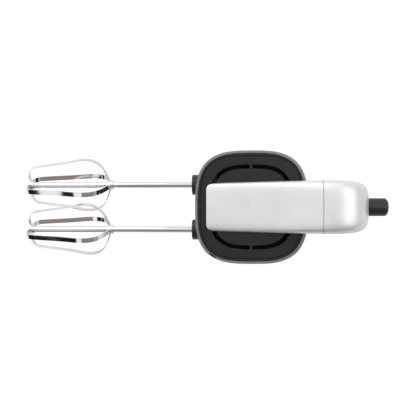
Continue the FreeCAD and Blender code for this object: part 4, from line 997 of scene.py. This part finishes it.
@dataclass(frozen=True)
class Studio:
    """Pale floor, soft light, surroundings for the chrome to mirror, and the camera."""

    floor_size: float = 6.0
    floor_colour: Colour = (0.90, 0.90, 0.90)
    floor_glow: float = 0.86
    glow_strength: float = 1.12
    lens: float = 58.85
    sensor: float = 36.0
    camera_place: Place = (0.0036, -0.0007, 0.6966)
    camera_lean: float = 4.0
    room_strength: float = 1.05
    warm_shade: Colour = (0.30, 0.255, 0.225)
    black_shade: Colour = (0.012, 0.012, 0.012)
    pale_wall: Colour = (1.0, 1.0, 1.0)
    grey_shade: Colour = (0.42, 0.42, 0.43)
    left_step: Step = (-0.02, -0.16)
    handle_step: Step = (0.64, 0.86)
    beater_step: Step = (-0.20, -0.26)
    low_step: Step = (0.572, 0.556)
    lamps: tuple[SoftLight, ...] = (
        SoftLight("Handle soft lamp", (0.85, 0.0, 0.95), (0.05, 0.0, 0.12), 1.0, 3.5),
        SoftLight("Side soft lamp", (-0.60, 0.90, 0.80), (0.0, 0.0, 0.08), 0.8, 4.0),
    )

    def build(self) -> None:
        """Set everything up."""
        self._floor()
        for lamp in self.lamps:
            lamp.hang()
        self._surroundings()
        self._camera()
        bpy.context.scene.view_settings.view_transform = "Standard"

    def _floor(self) -> None:
        """Lay a pale floor at Z = 0, which the camera sees lighter than the mixer's chrome does."""
        bpy.ops.object.select_all(action="DESELECT")
        bpy.ops.mesh.primitive_plane_add(size=self.floor_size, location=(0, 0, 0))
        floor = bpy.context.object
        floor.name = "pale_floor"
        material = bpy.data.materials.new("Pale floor")
        material.use_nodes = True
        sheet = NodeSheet(material.node_tree)
        seen = sheet.add("ShaderNodeLightPath")
        share = sheet.add("ShaderNodeMath", {"operation": "MULTIPLY"})
        share.inputs[1].default_value = self.floor_glow
        matt = sheet.add("ShaderNodeBsdfDiffuse", Color=(*self.floor_colour, 1.0))
        glow = sheet.add("ShaderNodeEmission", Strength=self.glow_strength)
        mix = sheet.add("ShaderNodeMixShader")
        output = sheet.add("ShaderNodeOutputMaterial")
        sheet.join(seen.outputs["Is Camera Ray"], share.inputs[0])
        sheet.join(share.outputs["Value"], mix.inputs["Fac"])
        sheet.join(matt.outputs["BSDF"], mix.inputs[1])
        sheet.join(glow.outputs["Emission"], mix.inputs[2])
        sheet.join(mix.outputs["Shader"], output.inputs["Surface"])
        floor.data.materials.append(material)
        floor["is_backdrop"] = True

    def _surroundings(self) -> None:
        """Pale room: warm on the left, grey past the handle, black low down past the beaters."""
        world = bpy.data.worlds.new("Pale room")
        world.use_nodes = True
        bpy.context.scene.world = world
        sheet = NodeSheet(world.node_tree)
        place = sheet.add("ShaderNodeTexCoord")
        split = sheet.add("ShaderNodeSeparateXYZ")
        sheet.join(place.outputs["Generated"], split.inputs["Vector"])
        left = self._edge(sheet, split.outputs["Y"], self.left_step)
        behind = self._edge(sheet, split.outputs["X"], self.handle_step)
        beyond = self._edge(sheet, split.outputs["X"], self.beater_step)
        low = self._edge(sheet, split.outputs["Z"], self.low_step)
        walls = sheet.blend(behind, sheet.blend(left, self.pale_wall, self.warm_shade), self.grey_shade)
        shades = sheet.blend(low, self.pale_wall, self.black_shade)
        corner = sheet.add("ShaderNodeMath", {"operation": "MULTIPLY"})
        sheet.join(beyond, corner.inputs[0])
        sheet.join(left, corner.inputs[1])
        colours = sheet.blend(corner.outputs["Value"], walls, shades)
        seen = sheet.add("ShaderNodeLightPath")
        room = sheet.add("ShaderNodeBackground", Strength=self.room_strength)
        backdrop = sheet.add("ShaderNodeBackground", Color=(*self.pale_wall, 1.0), Strength=1.0)
        mix = sheet.add("ShaderNodeMixShader")
        output = sheet.add("ShaderNodeOutputWorld")
        sheet.join(colours, room.inputs["Color"])
        sheet.join(seen.outputs["Is Camera Ray"], mix.inputs["Fac"])
        sheet.join(room.outputs["Background"], mix.inputs[1])
        sheet.join(backdrop.outputs["Background"], mix.inputs[2])
        sheet.join(mix.outputs["Shader"], output.inputs["Surface"])

    def _edge(self, sheet: NodeSheet, value: bpy.types.NodeSocket, step: Step) -> bpy.types.NodeSocket:
        """Soft step from 0 at its first value to 1 at its second.

        Args:
            sheet: The world's node sheet.
            value: What is compared.
            step: Values where the step begins and where it is complete.

        Returns:
            The step's socket.
        """
        ramp = sheet.add("ShaderNodeMapRange", {"interpolation_type": "SMOOTHSTEP"})
        ramp.inputs["From Min"].default_value = step[0]
        ramp.inputs["From Max"].default_value = step[1]
        sheet.join(value, ramp.inputs["Value"])
        return ramp.outputs["Result"]

    def _camera(self) -> None:
        """Look down on the nose from above, as the mixer stands on its heel."""
        data = bpy.data.cameras.new("Camera")
        data.lens = self.lens
        data.sensor_width = self.sensor
        camera = bpy.data.objects.new("Camera", data)
        camera.location = self.camera_place
        camera.rotation_euler = (0.0, math.radians(self.camera_lean), 0.0)
        bpy.context.scene.collection.objects.link(camera)
        bpy.context.scene.camera = camera


# ---------------------------------------------------------------- everything together
@dataclass
class SizeBook:
    """Keeps the object's box before and after the visual pieces are made."""

    boxes: dict[str, list[list[float]]] = field(default_factory=dict)

    def note(self, name: str) -> None:
        """Keep the present box under a name."""
        self.boxes[name] = [list(corner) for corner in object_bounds()]

    def write(self) -> None:
        """Does nothing: the boxes are not written anywhere."""


def main() -> None:
    """Load the frame, dress it, build the visual pieces and set up the studio."""
    logging.basicConfig(level=logging.INFO, format="%(message)s")
    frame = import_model()
    book = SizeBook()
    book.note("cad")
    bench = Workbench()
    rack = FinishRack()
    LOG.info("dressed %d carried pieces", CarriedPieces(rack).dress(frame))
    for assembly in (
        RoundButton(
            bench, rack, "eject_post", "eject_button", "eject",
            flange_reach=1.6 * MILLIMETRE, flange_height=2.0 * MILLIMETRE,
            crown_radius=3.4 * MILLIMETRE, dish_depth=0.3 * MILLIMETRE,
        ),
        RoundButton(
            bench, rack, "turbo_cap", "turbo_button", "turbo",
            flange_reach=1.2 * MILLIMETRE, flange_height=1.4 * MILLIMETRE,
            crown_radius=1.4 * MILLIMETRE, dish_depth=0.5 * MILLIMETRE, stem_length=1.0 * MILLIMETRE,
        ),
        SpeedKnob(bench, rack),
        SpeedScale(bench, rack),
    ):
        piece = assembly.build()
        LOG.info("built %s with %d faces", piece.name, len(piece.data.polygons))
    Studio().build()
    book.note("visual")
    book.write()


if __name__ == "__main__":
    main()
